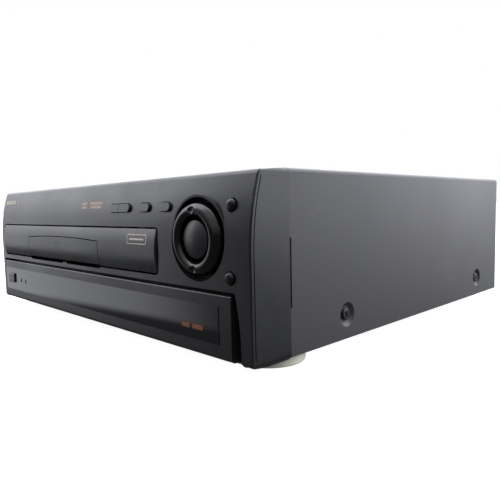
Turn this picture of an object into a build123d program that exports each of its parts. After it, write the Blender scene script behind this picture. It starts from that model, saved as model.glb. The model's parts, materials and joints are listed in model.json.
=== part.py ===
from build123d import *
import os
from math import cos, pi, radians, sin, sqrt, tan

# Disc player with a wide laserdisc tray and a small CD tray nested in it. Sizes are in mm.
# The origin is at the middle of the outline, on the surface that the feet stand on, +Y to the rear.
# "Depth" is measured from the flat of the front face, "height" from the cover's bottom edge.

os.makedirs("parts", exist_ok=True)

# ------------------------------------------------------------------ overall sizes
width = 420.0  # cover and front moulding
cover_height = 122.5  # cover's top above its bottom edge
foot_drop = 9.0  # pads' underside below the cover's bottom edge
seam_depth = 35.5  # back of the front moulding, where the cover starts
rear_depth = 388.7  # back edge of the cover
panel_inset = 1.0  # rear panel's outer face, inside the cover's back edge
ring_proud = 4.0  # dial ring's nose in front of the face
jack_reach = 8.5  # phono barrels behind the rear panel

# ------------------------------------------------------------------ sheet, walls and clearances
sheet = 1.2  # steel sheet of cover, pan and rear panel
skin = 2.5  # moulded wall of the front
board = 1.6  # circuit board
fit_gap = 0.3  # gap between pieces that move past each other
run_gap = 0.05  # radial gap of a shaft in its hole
key_gap = 0.6  # gap round a key in the front
key_travel = 0.8  # how far a key goes in

# ------------------------------------------------------------------ spindle and discs
spindle_inset = 165.5  # spindle from the left side
spindle_depth = 165.0
ld_radius = 150.8
cd_radius = 60.0
disc_play = 0.6  # recess radius beyond the disc

rear_face = rear_depth - panel_inset
jack_board_depth = rear_face - sheet - 13.0  # front ends of the sockets' bodies
face_y = (ring_proud - rear_face - jack_reach) / 2
half = width / 2
spindle_x = spindle_inset - half


def across(depth):
    """Plane facing the front at a depth, with x and height as its coordinates."""
    return Plane(origin=(0, face_y + depth, foot_drop), x_dir=(1, 0, 0), z_dir=(0, -1, 0))


def level(height):
    """Level plane at a height, with x and depth as its coordinates."""
    return Plane(origin=(0, face_y, foot_drop + height))


def beside(x):
    """Plane facing +X, with depth and height as its coordinates."""
    return Plane(origin=(x, face_y, foot_drop), x_dir=(0, 1, 0), z_dir=(1, 0, 0))


def slab(xs, depths, heights, mode=Mode.ADD):
    """Box between two x, two depths and two heights."""
    middle = (sum(xs) / 2, face_y + sum(depths) / 2, foot_drop + sum(heights) / 2)
    with Locations(middle):
        Box(xs[1] - xs[0], depths[1] - depths[0], heights[1] - heights[0], mode=mode)


def post(x, depth, heights, radius, mode=Mode.ADD):
    """Upright cylinder."""
    with Locations((x, face_y + depth, foot_drop + sum(heights) / 2)):
        Cylinder(radius, heights[1] - heights[0], mode=mode)


def pin_back(x, height, depths, radius, mode=Mode.ADD):
    """Cylinder that runs from front to back."""
    with Locations(Location((x, face_y + sum(depths) / 2, foot_drop + height), (90, 0, 0))):
        Cylinder(radius, depths[1] - depths[0], mode=mode)


def pin_side(xs, depth, height, radius, mode=Mode.ADD):
    """Cylinder that runs from left to right."""
    with Locations(Location((sum(xs) / 2, face_y + depth, foot_drop + height), (0, 90, 0))):
        Cylinder(radius, xs[1] - xs[0], mode=mode)


def finish(piece, name):
    """Label a finished piece and write its STEP file."""
    piece.part.label = name
    export_step(piece.part, f"parts/{name}.step")


# ------------------------------------------------------------------ front moulding
lean_start = 69.0  # the face is flat below this height and leans back above it
lean_back = 8.0  # setback where the brow's rounding starts
brow_height = 120.8
brow_round = 2.6
bezel_top = cover_height - 0.2
toe_round = 3.0  # rounding of the face's lower edge
belly = 2.9  # the underside hangs below the cover's bottom edge
belly_depth = 20.0  # where the underside becomes level
corner_top = 3.2  # rounding of the outline's upper corners
corner_bottom = 6.0
edge_round = 1.2  # rounding between face and sides
groove_back = 2.6  # groove in each side, behind the edge of the face
groove = 0.8
nick_depth = 15.0
nick_size = 4.0
slot_h = (32.4, 78.2)  # slot in the cover's front edge, each side

lean_rise = brow_height - brow_round - lean_start
lean_radius = (lean_back**2 + lean_rise**2) / (2 * lean_back)


def skin_depth(height):
    """Depth of the face at a height."""
    rise = max(0.0, height - lean_start)
    return lean_radius - sqrt(lean_radius**2 - rise**2)


# doors
ld_door_x = (11.5 - half, 323 - half)
ld_door_h = (51.3, 83.6)
door_gap = 1.4
door_corner = 2.8
door_crown = 1.9  # doors bulge in front of the face
door_back = 4.0  # depth of the doors' flat backs
cd_door_x = (spindle_x - 78.5, spindle_x + 70.5)
cd_corner_h = 70.0  # where the CD door's upper corners start
cd_crown_h = 73.8  # top of its arched upper edge
cd_corner = 2.5
cd_gap = 0.8
finger_drop = 2.6  # notch in the strip below the CD door
tab_half = 4.0  # half width of the tab in the middle of the notch

# lower recess, which the display panel sits in
recess_top = 45.4
recess_depth = 8.5
recess_wall = 2.5
panel_x = (6.5 - half, half - 18.5)
panel_top = 42.8
column_top_x = half - 14.6  # inner edge of the right column, at the recess's top
column_foot_x = half - 9.7
column_foot_h = 8.0

# dial and keys
dial_x = half - 50.6
dial_h = 77.6
cup_radius = 27.9
cup_floor = 11.0
cup_wall = 1.5
ring_pivot = 6.0  # depth of the axis that the dial ring rocks on
pivot_radius = 0.9
ring_stem_offset = 20.5  # the ring's two stems, above and below its middle
button_stem = 2.4
key_h = 99.6
key_height = 6.2
key_proud = 1.8  # pill keys stand in front of the brow, parallel to it
double_key_x = (half - 167.3, half - 135.3)
single_keys_x = ((half - 123, half - 107.8), (half - 96, half - 81.7))
split_gap = 0.5
small_key_x = half - 18
small_keys_h = (99.5, 54.4)
small_key_radius = 4.0
small_key_proud = 2.8
small_key_dome = 2.7  # rounding of their fronts

# power button and indicator marks in the display window
power_x = (18.4 - half, 35 - half)
power_h = (18.2, 28.6)
power_proud = 1.5
marks_x = (53 - half, 65.5 - half)
mark_size = (2.4, 4.2)
mark_h = 22.0

window_x = (7.4 - half, half - 30.6)
window_h = (10.0, 35.0)
window_thick = 2.0
window_gap = 0.9  # groove at the window's right end
panel_web = 1.5  # wall of the panel behind the window
tube_x = (98 - half, half - 70)
tube_h = (13.0, 32.0)

key_board_depth = 21.0
display_board_depth = 25.0


def face_profile(x, shift, top, bottom, back):
    """Side view of a solid behind the face's curve, moved back by a shift."""
    with BuildSketch(beside(x)) as profile:
        with BuildLine():
            flat = Line((shift, bottom), (shift, lean_start))
            lean_end = (lean_back + shift, brow_height - brow_round)
            brow = TangentArc(flat @ 1, lean_end, tangent=flat % 1)
            Polyline(brow @ 1, (brow @ 1 + (0, top - brow_height + brow_round)), (back, top))
            Polyline((back, top), (back, bottom), (shift, bottom))
        make_face()
    return profile.sketch


with BuildPart() as front_bezel:
    with BuildSketch(beside(-half)):
        with BuildLine():
            face_line = Line((0, toe_round), (0, lean_start))
            lean_arc = TangentArc(
                face_line @ 1, (lean_back, brow_height - brow_round), tangent=face_line % 1
            )
            brow_arc = TangentArc(
                lean_arc @ 1, (lean_back + brow_round, brow_height), tangent=lean_arc % 1
            )
            Polyline(
                brow_arc @ 1,
                (seam_depth, bezel_top),
                (seam_depth, -belly),
                (belly_depth, -belly),
                (toe_round, 0),
            )
            TangentArc((0, toe_round), (toe_round, 0), tangent=(0, -1))
        make_face()
    extrude(amount=width)
    ends = front_bezel.faces().sort_by(Axis.X)
    end_edges = ends[0].edges() + ends[-1].edges()
    fillet(end_edges.filter_by(lambda e: (e @ 0.5).Y < face_y + seam_depth - 1), edge_round)
    with BuildSketch(across(seam_depth)) as outline:
        with Locations((0, (cover_height - belly) / 2)):
            Rectangle(width, cover_height + belly)
        fillet(outline.vertices().group_by(Axis.Y)[-1], corner_top)
        fillet(outline.vertices().group_by(Axis.Y)[0], corner_bottom)
    extrude(amount=seam_depth + ring_proud, mode=Mode.INTERSECT)
    # hollow behind the skin
    cavity = face_profile(-half + skin, skin, brow_height - skin, 0, seam_depth + 1)
    extrude(cavity, amount=width - 2 * skin, mode=Mode.SUBTRACT)
    # backing of the lower recess
    backing_x = (panel_x[0] - 3, column_foot_x + 3)
    slab(backing_x, (skin - 1, recess_depth + recess_wall), (0, recess_top + skin))
    with BuildSketch(across(recess_depth)) as recess:
        with BuildLine():
            column = Line((column_foot_x, -2 * belly), (column_foot_x, column_foot_h))
            sweep_up = TangentArc(column @ 1, (column_top_x, recess_top), tangent=column % 1)
            Polyline(
                sweep_up @ 1,
                (panel_x[0] - fit_gap, recess_top),
                (panel_x[0] - fit_gap, -2 * belly),
                column @ 0,
            )
        make_face()
    extrude(amount=2 * recess_depth, mode=Mode.SUBTRACT)
    # way through to the display and the power button
    slab(
        (tube_x[0] - 4, tube_x[1] + 4),
        (0, seam_depth),
        (tube_h[0] - 1, tube_h[1] + 1),
        mode=Mode.SUBTRACT,
    )
    for mark_x in marks_x:
        pin_back(mark_x, mark_h, (0, 15), 3.5, mode=Mode.SUBTRACT)
    slab(
        (power_x[0] + 2, power_x[1] - 2),
        (0, 15),
        (power_h[0] + 1, power_h[1] - 1),
        mode=Mode.SUBTRACT,
    )
    # mouth for the trays and the notch below the CD door
    with BuildSketch(across(skin + 8)):
        with Locations((sum(ld_door_x) / 2, sum(ld_door_h) / 2)):
            RectangleRounded(
                ld_door_x[1] - ld_door_x[0] + 2 * door_gap,
                ld_door_h[1] - ld_door_h[0] + 2 * door_gap,
                door_corner + door_gap,
            )
    extrude(amount=20, mode=Mode.SUBTRACT)
    notch_h = (ld_door_h[0] - finger_drop, ld_door_h[0])
    slab(cd_door_x, (-1, skin + 1), notch_h, mode=Mode.SUBTRACT)
    slab((spindle_x - tab_half, spindle_x + tab_half), (0.8, skin), (notch_h[0] - 0.5, notch_h[0] + 1))
    # dial cup
    pin_back(dial_x, dial_h, (skin - 1.2, cup_floor + cup_wall), cup_radius + cup_wall)
    pin_back(dial_x, dial_h, (-5, cup_floor), cup_radius, mode=Mode.SUBTRACT)
    pin_back(dial_x, dial_h, (0, 20), button_stem + run_gap, mode=Mode.SUBTRACT)
    for side in (-1, 1):
        pin_back(dial_x, dial_h + side * ring_stem_offset, (0, 20), 3.2, mode=Mode.SUBTRACT)
    pivot_x = (dial_x - cup_radius - cup_wall - 1, dial_x + cup_radius + cup_wall + 1)
    pin_side(pivot_x, ring_pivot, dial_h, pivot_radius + run_gap, mode=Mode.SUBTRACT)
    # key holes
    with BuildSketch(across(20)):
        for key_x in (double_key_x, *single_keys_x):
            with Locations((sum(key_x) / 2, key_h)):
                SlotOverall(key_x[1] - key_x[0] + 2 * key_gap, key_height + 2 * key_gap)
        for small_h in small_keys_h:
            with Locations((small_key_x, small_h)):
                Circle(small_key_radius + key_gap)
    extrude(amount=25, mode=Mode.SUBTRACT)
    # bosses for the key board
    key_bosses = ((half - 129, 112), (half - 6, 112), (half - 6, 66), (half - 86, 57))
    for boss_x, boss_h in key_bosses:
        pin_back(boss_x, boss_h, (skin_depth(boss_h) + 1, key_board_depth), 3.0)
    # bosses for the display board, on the back of the recess
    for boss_x in (16 - half, half - 36):
        for boss_h in (6.0, 37.0):
            pin_back(boss_x, boss_h, (recess_depth + 1, display_board_depth), 2.8)
    # tongues behind the slots in the cover's front edge, and nicks in the underside
    for side in (-1, 1):
        tongue = sorted((side * (half - sheet - fit_gap), side * (half - sheet - fit_gap - skin)))
        slab(tongue, (seam_depth - 2, seam_depth + 4), (slot_h[0] - 3, slot_h[1] + 3))
        nick = sorted((side * (half - nick_size), side * (half + 1)))
        slab(nick, (nick_depth, nick_depth + 1), (-belly - 1, -0.6), Mode.SUBTRACT)
    # groove in each side, parallel to the edge of the face
    for x in (-half, half - groove):
        outer = face_profile(x, groove_back, brow_height - 4, 5, groove_back + 20)
        inner = face_profile(x, groove_back + groove, brow_height - 3, 4, groove_back + 21)
        extrude(outer - inner, amount=groove, mode=Mode.SUBTRACT)
finish(front_bezel, "front_bezel")


# ------------------------------------------------------------------ doors
def door_profile(back):
    """Side view of the doors: a crowned front on a flat back."""
    low, high = ld_door_h
    with BuildSketch(beside(ld_door_x[0])) as profile:
        with BuildLine():
            ThreePointArc((0.2, low), (-door_crown, (low + high) / 2), (skin_depth(high), high))
            Polyline((skin_depth(high), high), (back, high), (back, low), (0.2, low))
        make_face()
    return profile.sketch


def cd_outline(gap):
    """Front view of the CD door, arched above and open below, grown by a gap."""
    left, right = cd_door_x[0] - gap, cd_door_x[1] + gap
    low = ld_door_h[0] + cd_gap - gap
    shoulder = cd_corner_h + gap
    crown = cd_crown_h + gap
    with BuildSketch(across(door_back)) as shape:
        with BuildLine():
            Line((right, low), (left, low))
            Line((left, low), (left, shoulder))
            ThreePointArc(
                (left, shoulder),
                (left + 0.3 * cd_corner, shoulder + 0.7 * cd_corner),
                (left + cd_corner, shoulder + cd_corner - 0.6),
            )
            ThreePointArc(
                (left + cd_corner, shoulder + cd_corner - 0.6),
                ((left + right) / 2, crown),
                (right - cd_corner, shoulder + cd_corner - 0.6),
            )
            ThreePointArc(
                (right - cd_corner, shoulder + cd_corner - 0.6),
                (right - 0.3 * cd_corner, shoulder + 0.7 * cd_corner),
                (right, shoulder),
            )
            Line((right, shoulder), (right, low))
        make_face()
    return shape.sketch


door_reach = door_back + door_crown + 1
with BuildPart() as ld_tray_door:
    extrude(door_profile(door_back), amount=ld_door_x[1] - ld_door_x[0])
    door_ends = ld_tray_door.edges().filter_by(GeomType.CIRCLE).group_by(Axis.X)
    fillet(door_ends[0] + door_ends[-1], edge_round)
    with BuildSketch(across(door_back)):
        with Locations((sum(ld_door_x) / 2, sum(ld_door_h) / 2)):
            RectangleRounded(ld_door_x[1] - ld_door_x[0], ld_door_h[1] - ld_door_h[0], door_corner)
    extrude(amount=door_reach, mode=Mode.INTERSECT)
    extrude(cd_outline(cd_gap), amount=door_reach, mode=Mode.SUBTRACT)
    slab(
        (cd_door_x[0] - cd_gap, cd_door_x[1] + cd_gap),
        (-door_reach, door_back),
        (ld_door_h[0] - 1, ld_door_h[0] + 2),
        mode=Mode.SUBTRACT,
    )
finish(ld_tray_door, "ld_tray_door")

with BuildPart() as cd_tray_door:
    extrude(door_profile(door_back), amount=ld_door_x[1] - ld_door_x[0])
    extrude(cd_outline(0), amount=door_reach, mode=Mode.INTERSECT)
finish(cd_tray_door, "cd_tray_door")

# ------------------------------------------------------------------ laserdisc tray
rim_h = 66.0  # tray's rim
ledge_h = 62.2  # floor of the laserdisc recess
cd_tray_h = (58.2, 61.9)
cd_floor_h = 60.2  # floor of the CD recess
tray_under = 56.5
wing_floor = 59.5  # underside of the laserdisc recess in the hollow wings
tray_x = (12 - half, 322 - half)
tray_length = 328.0  # front part, behind the door
tail_gap = 14.5  # between the side arms' ends and the rear panel
tail_arm = 22.0
cd_side_gap = 0.5
cd_tray_x = (spindle_x - 77.7, spindle_x + 69.7)
cd_tray_end = 300.0
ledge = 3.0  # ledges that the CD tray slides on
lip = 2.5  # lips over the CD tray's edges
lip_end = 30.0
beam_start = 320.0  # cross beam behind the disc
beam_end = 332.0
hub_hole = 28.0
slot_half = 17.0  # half width of the pickup's slot
ld_stroke = 300.0

# tray drive
rack_module = 1.5
drive_teeth = 24
pulley_teeth = 12
rack_pitch_x = tray_x[1] - 20  # pitch line of the rack under the tray
drive_depth = 60.0
rack_h = (51.8, tray_under)
gear_h = (51.9, 56.0)
back_lash = 0.08  # share of the pitch that each tooth is thinner by
rack_width = 5.0

tail_depth = rear_face - sheet - tail_gap
drive_radius = rack_module * drive_teeth / 2
pulley_pitch_radius = rack_module * pulley_teeth / 2
drive_x = rack_pitch_x - drive_radius


def tooth_widths(module):
    """Width of a straight-flanked tooth at its tip and at its root."""
    middle = pi * module * (0.5 - back_lash)
    return middle - 2 * 0.8 * module * tan(radians(20)), middle + 2 * 1.1 * module * tan(radians(20))


def gear_sketch(plane, teeth, module):
    """Outline of a gear with a tooth pointing along +X."""
    tip, root = tooth_widths(module)
    root_radius = module * (teeth / 2 - 1.1)
    reach = 1.9 * module
    with BuildSketch(plane) as outline:
        Circle(root_radius)
        with PolarLocations(0, teeth):
            Polygon(
                (root_radius - 0.3, -root / 2),
                (root_radius + reach, -tip / 2),
                (root_radius + reach, tip / 2),
                (root_radius - 0.3, root / 2),
                align=None,
            )
    return outline.sketch


def rack_teeth(pitch_x, side, first, last, middle, module, heights):
    """Teeth of a rack along the depth, with a gap at a middle and tips towards a side."""
    tip, root = tooth_widths(module)
    pitch = pi * module
    centres = [middle + (index + 0.5) * pitch for index in range(-200, 200)]
    with BuildSketch(level(heights[0])) as teeth:
        for centre in centres:
            if first + pitch / 2 < centre < last - pitch / 2:
                Polygon(
                    (pitch_x - side * 1.3 * module, centre - root / 2),
                    (pitch_x + side * 0.8 * module, centre - tip / 2),
                    (pitch_x + side * 0.8 * module, centre + tip / 2),
                    (pitch_x - side * 1.3 * module, centre + root / 2),
                    align=None,
                )
    return teeth.sketch


rack_start = drive_depth - 8
rack_end = drive_depth + ld_stroke + 6
with BuildPart() as ld_tray:
    slab(tray_x, (door_back, beam_end), (tray_under, rim_h))
    slab((tray_x[0], tray_x[0] + tail_arm), (beam_start, tail_depth), (tray_under, rim_h))
    slab((tray_x[1] - tail_arm, tray_x[1]), (beam_start, tail_depth), (tray_under, rim_h))
    fillet(ld_tray.edges().filter_by(Axis.Z).group_by(Axis.Y)[-1], min(3.0, (tail_depth - beam_end) / 2))
    post(spindle_x, spindle_depth, (ledge_h, rim_h + 1), ld_radius + disc_play, Mode.SUBTRACT)
    # channel for the CD tray, with ledges below it and lips above its edges
    channel = (cd_tray_x[0] - cd_side_gap, cd_tray_x[1] + cd_side_gap)
    slab(channel, (0, beam_start), (cd_tray_h[0] - fit_gap, ledge_h), Mode.SUBTRACT)
    over = (channel[0] + lip, channel[1] - lip)
    slab(over, (0, beam_start), (ledge_h - 1, rim_h + 1), Mode.SUBTRACT)
    under = (channel[0] + ledge, channel[1] - ledge)
    slab(under, (lip_end, beam_start), (tray_under - 1, cd_tray_h[0]), Mode.SUBTRACT)
    # hollows in the underside of both wings
    for hollow_x in ((tray_x[0] + 14, channel[0] - 4), (channel[1] + 4, rack_pitch_x - 6)):
        slab(hollow_x, (lip_end, beam_start - 4), (tray_under - 1, wing_floor), Mode.SUBTRACT)
    # grooves that ride on the guides' tongues
    for groove_x in ((tray_x[0] + 4, tray_x[0] + 7.5), (tray_x[1] - 8.5, tray_x[1] - 5)):
        slab(groove_x, (20, tail_depth + 1), (tray_under - 1, 59.0), Mode.SUBTRACT)
    # rack under the right wing
    root_x = rack_pitch_x + 1.1 * rack_module
    slab((root_x, root_x + rack_width), (rack_start, rack_end), rack_h)
    tray_rack = rack_teeth(
        rack_pitch_x, -1, rack_start, rack_end, drive_depth, rack_module, rack_h
    )
    extrude(tray_rack, amount=rack_h[1] - rack_h[0] + 0.5)
finish(ld_tray, "ld_tray")

with BuildPart() as cd_tray:
    slab(cd_tray_x, (door_back, cd_tray_end), cd_tray_h)
    fillet(cd_tray.edges().filter_by(Axis.Z).group_by(Axis.Y)[-1], 4)
    post(spindle_x, spindle_depth, (cd_floor_h, ledge_h), cd_radius + disc_play, Mode.SUBTRACT)
    post(spindle_x, spindle_depth, (tray_under, ledge_h), hub_hole, Mode.SUBTRACT)
    slot = (spindle_x - slot_half, spindle_x + slot_half)
    slab(slot, (spindle_depth, cd_tray_end + 1), (tray_under, ledge_h), Mode.SUBTRACT)
    # finger cut-outs at the front of the recess
    for side in (-1, 1):
        post(
            spindle_x + side * 38,
            spindle_depth - cd_radius + 6,
            (tray_under, ledge_h),
            11,
            Mode.SUBTRACT,
        )
finish(cd_tray, "cd_tray")

# ------------------------------------------------------------------ tray guides
guide_depth = (42.0, 335.0)
guide_wall = 2.4
shelf_h = (53.0, 56.2)
tongue_top = 58.4
guide_top = 69.0
hook_end = 74.0
left_guide_x = (tray_x[0] - 6.6, tray_x[0] + 10)
right_guide_x = (tray_x[1] - 12, tray_x[1] + 4)
pan_floor = 1.8  # top of the pan's floor


def tray_guide(wall_x, shelf_x, tongue_x, hook_x):
    """Upright wall with a shelf, a tongue on it and a hook over the tray's rim."""
    slab(wall_x, guide_depth, (pan_floor, guide_top))
    slab(shelf_x, guide_depth, shelf_h)
    slab(tongue_x, guide_depth, (shelf_h[1], tongue_top))
    slab(hook_x, (guide_depth[0], hook_end), (rim_h + fit_gap, guide_top))
    for foot_depth in (60.0, 300.0):
        slab(hook_x, (foot_depth, foot_depth + 14), (pan_floor, 5.0))


with BuildPart() as tray_guide_left:
    tray_guide(
        (left_guide_x[0], left_guide_x[0] + guide_wall),
        left_guide_x,
        (tray_x[0] + 4.5, tray_x[0] + 7),
        (left_guide_x[0], tray_x[0] + 2),
    )
finish(tray_guide_left, "tray_guide_left")

with BuildPart() as tray_guide_right:
    tray_guide(
        (right_guide_x[1] - guide_wall, right_guide_x[1]),
        right_guide_x,
        (tray_x[1] - 8, tray_x[1] - 5.5),
        (tray_x[1] - 2, right_guide_x[1]),
    )
finish(tray_guide_right, "tray_guide_right")

# ------------------------------------------------------------------ tray drive
pulley_angle = 105.0  # direction from the drive gear to the pulley gear
pulley_radius = 19.0
motor_pulley_radius = 4.5
pulley_h = (44.5, 48.5)
groove_h = (45.2, 47.8)  # between the flanges of both pulleys
plate_h = (40.0, 41.5)
motor_centre = (drive_x - 12, 142.0)
belt_width = 2.0
belt_thick = 1.2
motor_can = 12.5
gear_pin = 2.0
centre_distance = drive_radius + pulley_pitch_radius
pulley_x = drive_x + centre_distance * cos(radians(pulley_angle))
pulley_depth = drive_depth + centre_distance * sin(radians(pulley_angle))


def belt_pulley(x, depth, radius):
    """Flanged pulley whose groove holds the flat belt."""
    post(x, depth, pulley_h, radius + belt_thick)
    post(x, depth, groove_h, radius + 2 * belt_thick, Mode.SUBTRACT)
    post(x, depth, groove_h, radius - run_gap)


with BuildPart() as drive_gear:
    extrude(
        gear_sketch(level(gear_h[0]), drive_teeth, rack_module).moved(
            Location((drive_x, drive_depth, 0))
        ),
        amount=gear_h[1] - gear_h[0],
    )
    post(drive_x, drive_depth, (plate_h[1] + fit_gap, gear_h[0]), 4.5)
    for angle in range(0, 360, 60):
        post(
            drive_x + 10.5 * cos(radians(angle)),
            drive_depth + 10.5 * sin(radians(angle)),
            (gear_h[0] - 1, gear_h[1] + 1),
            3.2,
            Mode.SUBTRACT,
        )
    post(drive_x, drive_depth, (plate_h[0], gear_h[1] + 1), gear_pin + run_gap, Mode.SUBTRACT)
finish(drive_gear, "drive_gear")

with BuildPart() as pulley_gear:
    extrude(
        gear_sketch(level(pulley_h[1]), pulley_teeth, rack_module).moved(
            Location((pulley_x, pulley_depth, 0))
        ),
        amount=gear_h[1] - pulley_h[1],
    )
    post(pulley_x, pulley_depth, (plate_h[1] + fit_gap, pulley_h[0]), 5)
    belt_pulley(pulley_x, pulley_depth, pulley_radius)
    post(pulley_x, pulley_depth, (plate_h[0], gear_h[1] + 1), gear_pin + run_gap, Mode.SUBTRACT)
finish(pulley_gear, "pulley_gear")

with BuildPart() as motor_pulley:
    belt_pulley(*motor_centre, motor_pulley_radius)
    post(*motor_centre, (plate_h[1] - 6, pulley_h[0]), 1.0)
finish(motor_pulley, "motor_pulley")

# the belt runs in the two grooves, its inner face tangent to both circles
belt_run = sqrt((pulley_x - motor_centre[0]) ** 2 + (pulley_depth - motor_centre[1]) ** 2)
belt_x = pulley_x - motor_centre[0]
belt_y = pulley_depth - motor_centre[1]
belt_lean = (motor_pulley_radius - pulley_radius) / belt_run
with BuildPart() as drive_belt:
    with BuildSketch(level(sum(pulley_h) / 2 - belt_width / 2)) as belt_loop:
        with BuildLine():
            along = (belt_x / belt_run, belt_y / belt_run)
            aside = (-along[1], along[0])
            ends = []
            for turn in (1, -1):
                normal = (
                    along[0] * belt_lean + turn * aside[0] * sqrt(1 - belt_lean**2),
                    along[1] * belt_lean + turn * aside[1] * sqrt(1 - belt_lean**2),
                )
                reach = motor_pulley_radius + belt_thick
                far = pulley_radius + belt_thick
                ends.append(
                    (
                        (motor_centre[0] + reach * normal[0], motor_centre[1] + reach * normal[1]),
                        (pulley_x + far * normal[0], pulley_depth + far * normal[1]),
                    )
                )
            Line(*ends[0])
            ThreePointArc(
                ends[0][1],
                (pulley_x + far * along[0], pulley_depth + far * along[1]),
                ends[1][1],
            )
            Line(ends[1][1], ends[1][0])
            ThreePointArc(
                ends[1][0],
                (motor_centre[0] - reach * along[0], motor_centre[1] - reach * along[1]),
                ends[0][0],
            )
        make_face()
        offset(amount=-belt_thick, mode=Mode.SUBTRACT)
    extrude(amount=belt_width)
finish(drive_belt, "drive_belt")

with BuildPart() as loading_motor:
    post(*motor_centre, (plate_h[0] - 24, plate_h[0]), motor_can)
    post(*motor_centre, (plate_h[0] - 26, plate_h[0] - 24), 4)
    fillet(loading_motor.edges().filter_by(GeomType.CIRCLE).group_by(Axis.Z)[1], 1.5)
    post(*motor_centre, (plate_h[0] - 10, plate_h[0] + 1), 1.0 + run_gap, Mode.SUBTRACT)
finish(loading_motor, "loading_motor")

loader_x = (drive_x - 30, drive_x + 16)
loader_depth = (48.0, 160.0)
with BuildPart() as loader_bracket:
    slab(loader_x, loader_depth, plate_h)
    leg_x = (loader_x[0], loader_x[0] + 16)
    toe_h = (pan_floor, pan_floor + sheet)
    for leg_depth in (loader_depth[0], loader_depth[1] - sheet):
        slab(leg_x, (leg_depth, leg_depth + sheet), (pan_floor, plate_h[1]))
    slab(leg_x, (loader_depth[0] - 8, loader_depth[0]), toe_h)
    slab(leg_x, (loader_depth[1], loader_depth[1] + 8), toe_h)
    post(*motor_centre, (plate_h[0] - 1, plate_h[1] + 1), 4, Mode.SUBTRACT)
    post(drive_x, drive_depth, (plate_h[0], gear_h[1] + 0.2), gear_pin)
    post(pulley_x, pulley_depth, (plate_h[0], gear_h[1] + 0.2), gear_pin)
finish(loader_bracket, "loader_bracket")

# ------------------------------------------------------------------ disc mechanism
lift = 12.7  # travel of the mechanism, up to the disc
mech_x = (spindle_x - 65.5, spindle_x + 66.5)
mech_gap = 9.9  # between the plate and the jack board
mech_depth = (100.0, jack_board_depth - board - mech_gap)
mech_h = (30.0, 31.5)
flange_h = 24.0
table_h = (46.5, 50.5)
flange_radius = 22.5  # seat of the laserdisc
cd_seat_radius = 17.2
cone_radius = 7.3
cone_h = 55.3
rotor_radius = 17.0
motor_top = 44.0
shaft_radius = 1.5
rod_offset = 27.0
rod_radius = 2.5
rod_h = 37.5
rod_depth = (149.0, mech_depth[1] - 8)
post_radius = 3.0
posts_x = (mech_x[0] + 6, mech_x[1] - 6)
posts_depth = (mech_depth[0] + 10, mech_depth[1] - 9)
lens_seat = 46.5  # top of the carriage's turret
lens_radius = 28.0  # lens from the spindle, with the carriage at its inner end
sled_stroke = 117.0
sled_depth = (184.5, 226.0)
sled_h = (33.0, 42.0)
sled_module = 1.0
sled_teeth = 12
sled_pitch_x = spindle_x + 38.1
pinion_depth = 233.0
sled_rack_h = (33.5, 36.5)
pinion_x = sled_pitch_x + sled_module * sled_teeth / 2
ramp_gap = 0.3
pin_radius = 2.0
pin_h = 27.0
ramp_pins = (142.0, 322.0)
slide_ratio = 2.0  # slide's travel for each mm of lift
slide_thick = 3.0
slide_base = 10.0

with BuildPart() as mechanism_plate:
    slab(mech_x, mech_depth, mech_h)
    for flange in ((mech_x[0], mech_x[0] + sheet), (mech_x[1] - sheet, mech_x[1])):
        slab(flange, mech_depth, (flange_h, mech_h[1]))
    through = (mech_h[0] - 1, mech_h[1] + 1)
    for post_x in posts_x:
        for post_depth in posts_depth:
            post(post_x, post_depth, through, post_radius + run_gap, Mode.SUBTRACT)
    # supports of the two rods
    for side in (-1, 1):
        for support_depth in (rod_depth[0] + 1, rod_depth[1] - 5):
            rod_x = spindle_x + side * rod_offset
            slab((rod_x - 5, rod_x + 5), (support_depth, support_depth + 4), (mech_h[1], rod_h + 5))
        pin_back(rod_x, rod_h, (rod_depth[0], rod_depth[1]), rod_radius, Mode.SUBTRACT)
    # pins on the ramps
    for pin_depth in ramp_pins:
        pin_side((mech_x[0] - 5, mech_x[0] + 1), pin_depth, pin_h, pin_radius)
        pin_side((mech_x[1] - 1, mech_x[1] + 5), pin_depth, pin_h, pin_radius)
    post(spindle_x, spindle_depth, through, 6, Mode.SUBTRACT)
    post(pinion_x, pinion_depth, through, 3, Mode.SUBTRACT)
finish(mechanism_plate, "mechanism_plate")

with BuildPart() as guide_rods:
    for side in (-1, 1):
        pin_back(spindle_x + side * rod_offset, rod_h, rod_depth, rod_radius)
finish(guide_rods, "guide_rods")

with BuildPart() as spindle_motor:
    post(spindle_x, spindle_depth, (mech_h[1], motor_top), rotor_radius)
    fillet(spindle_motor.edges().group_by(Axis.Z)[-1], 1.5)
    post(spindle_x, spindle_depth, (mech_h[0], mech_h[1]), 5.5)
    post(spindle_x, spindle_depth, (mech_h[1] + 2, motor_top + 1), shaft_radius + run_gap, Mode.SUBTRACT)
finish(spindle_motor, "spindle_motor")

with BuildPart() as turntable:
    post(spindle_x, spindle_depth, (table_h[0], table_h[1] - 2.2), flange_radius)
    post(spindle_x, spindle_depth, table_h, cd_seat_radius)
    with Locations((spindle_x, face_y + spindle_depth, foot_drop + (table_h[1] + cone_h) / 2)):
        Cone(cone_radius, cone_radius - 2.5, cone_h - table_h[1])
    post(spindle_x, spindle_depth, (motor_top + fit_gap, table_h[0]), 5)
    post(spindle_x, spindle_depth, (mech_h[1] + 2.3, table_h[0]), shaft_radius)
finish(turntable, "turntable")

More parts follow.
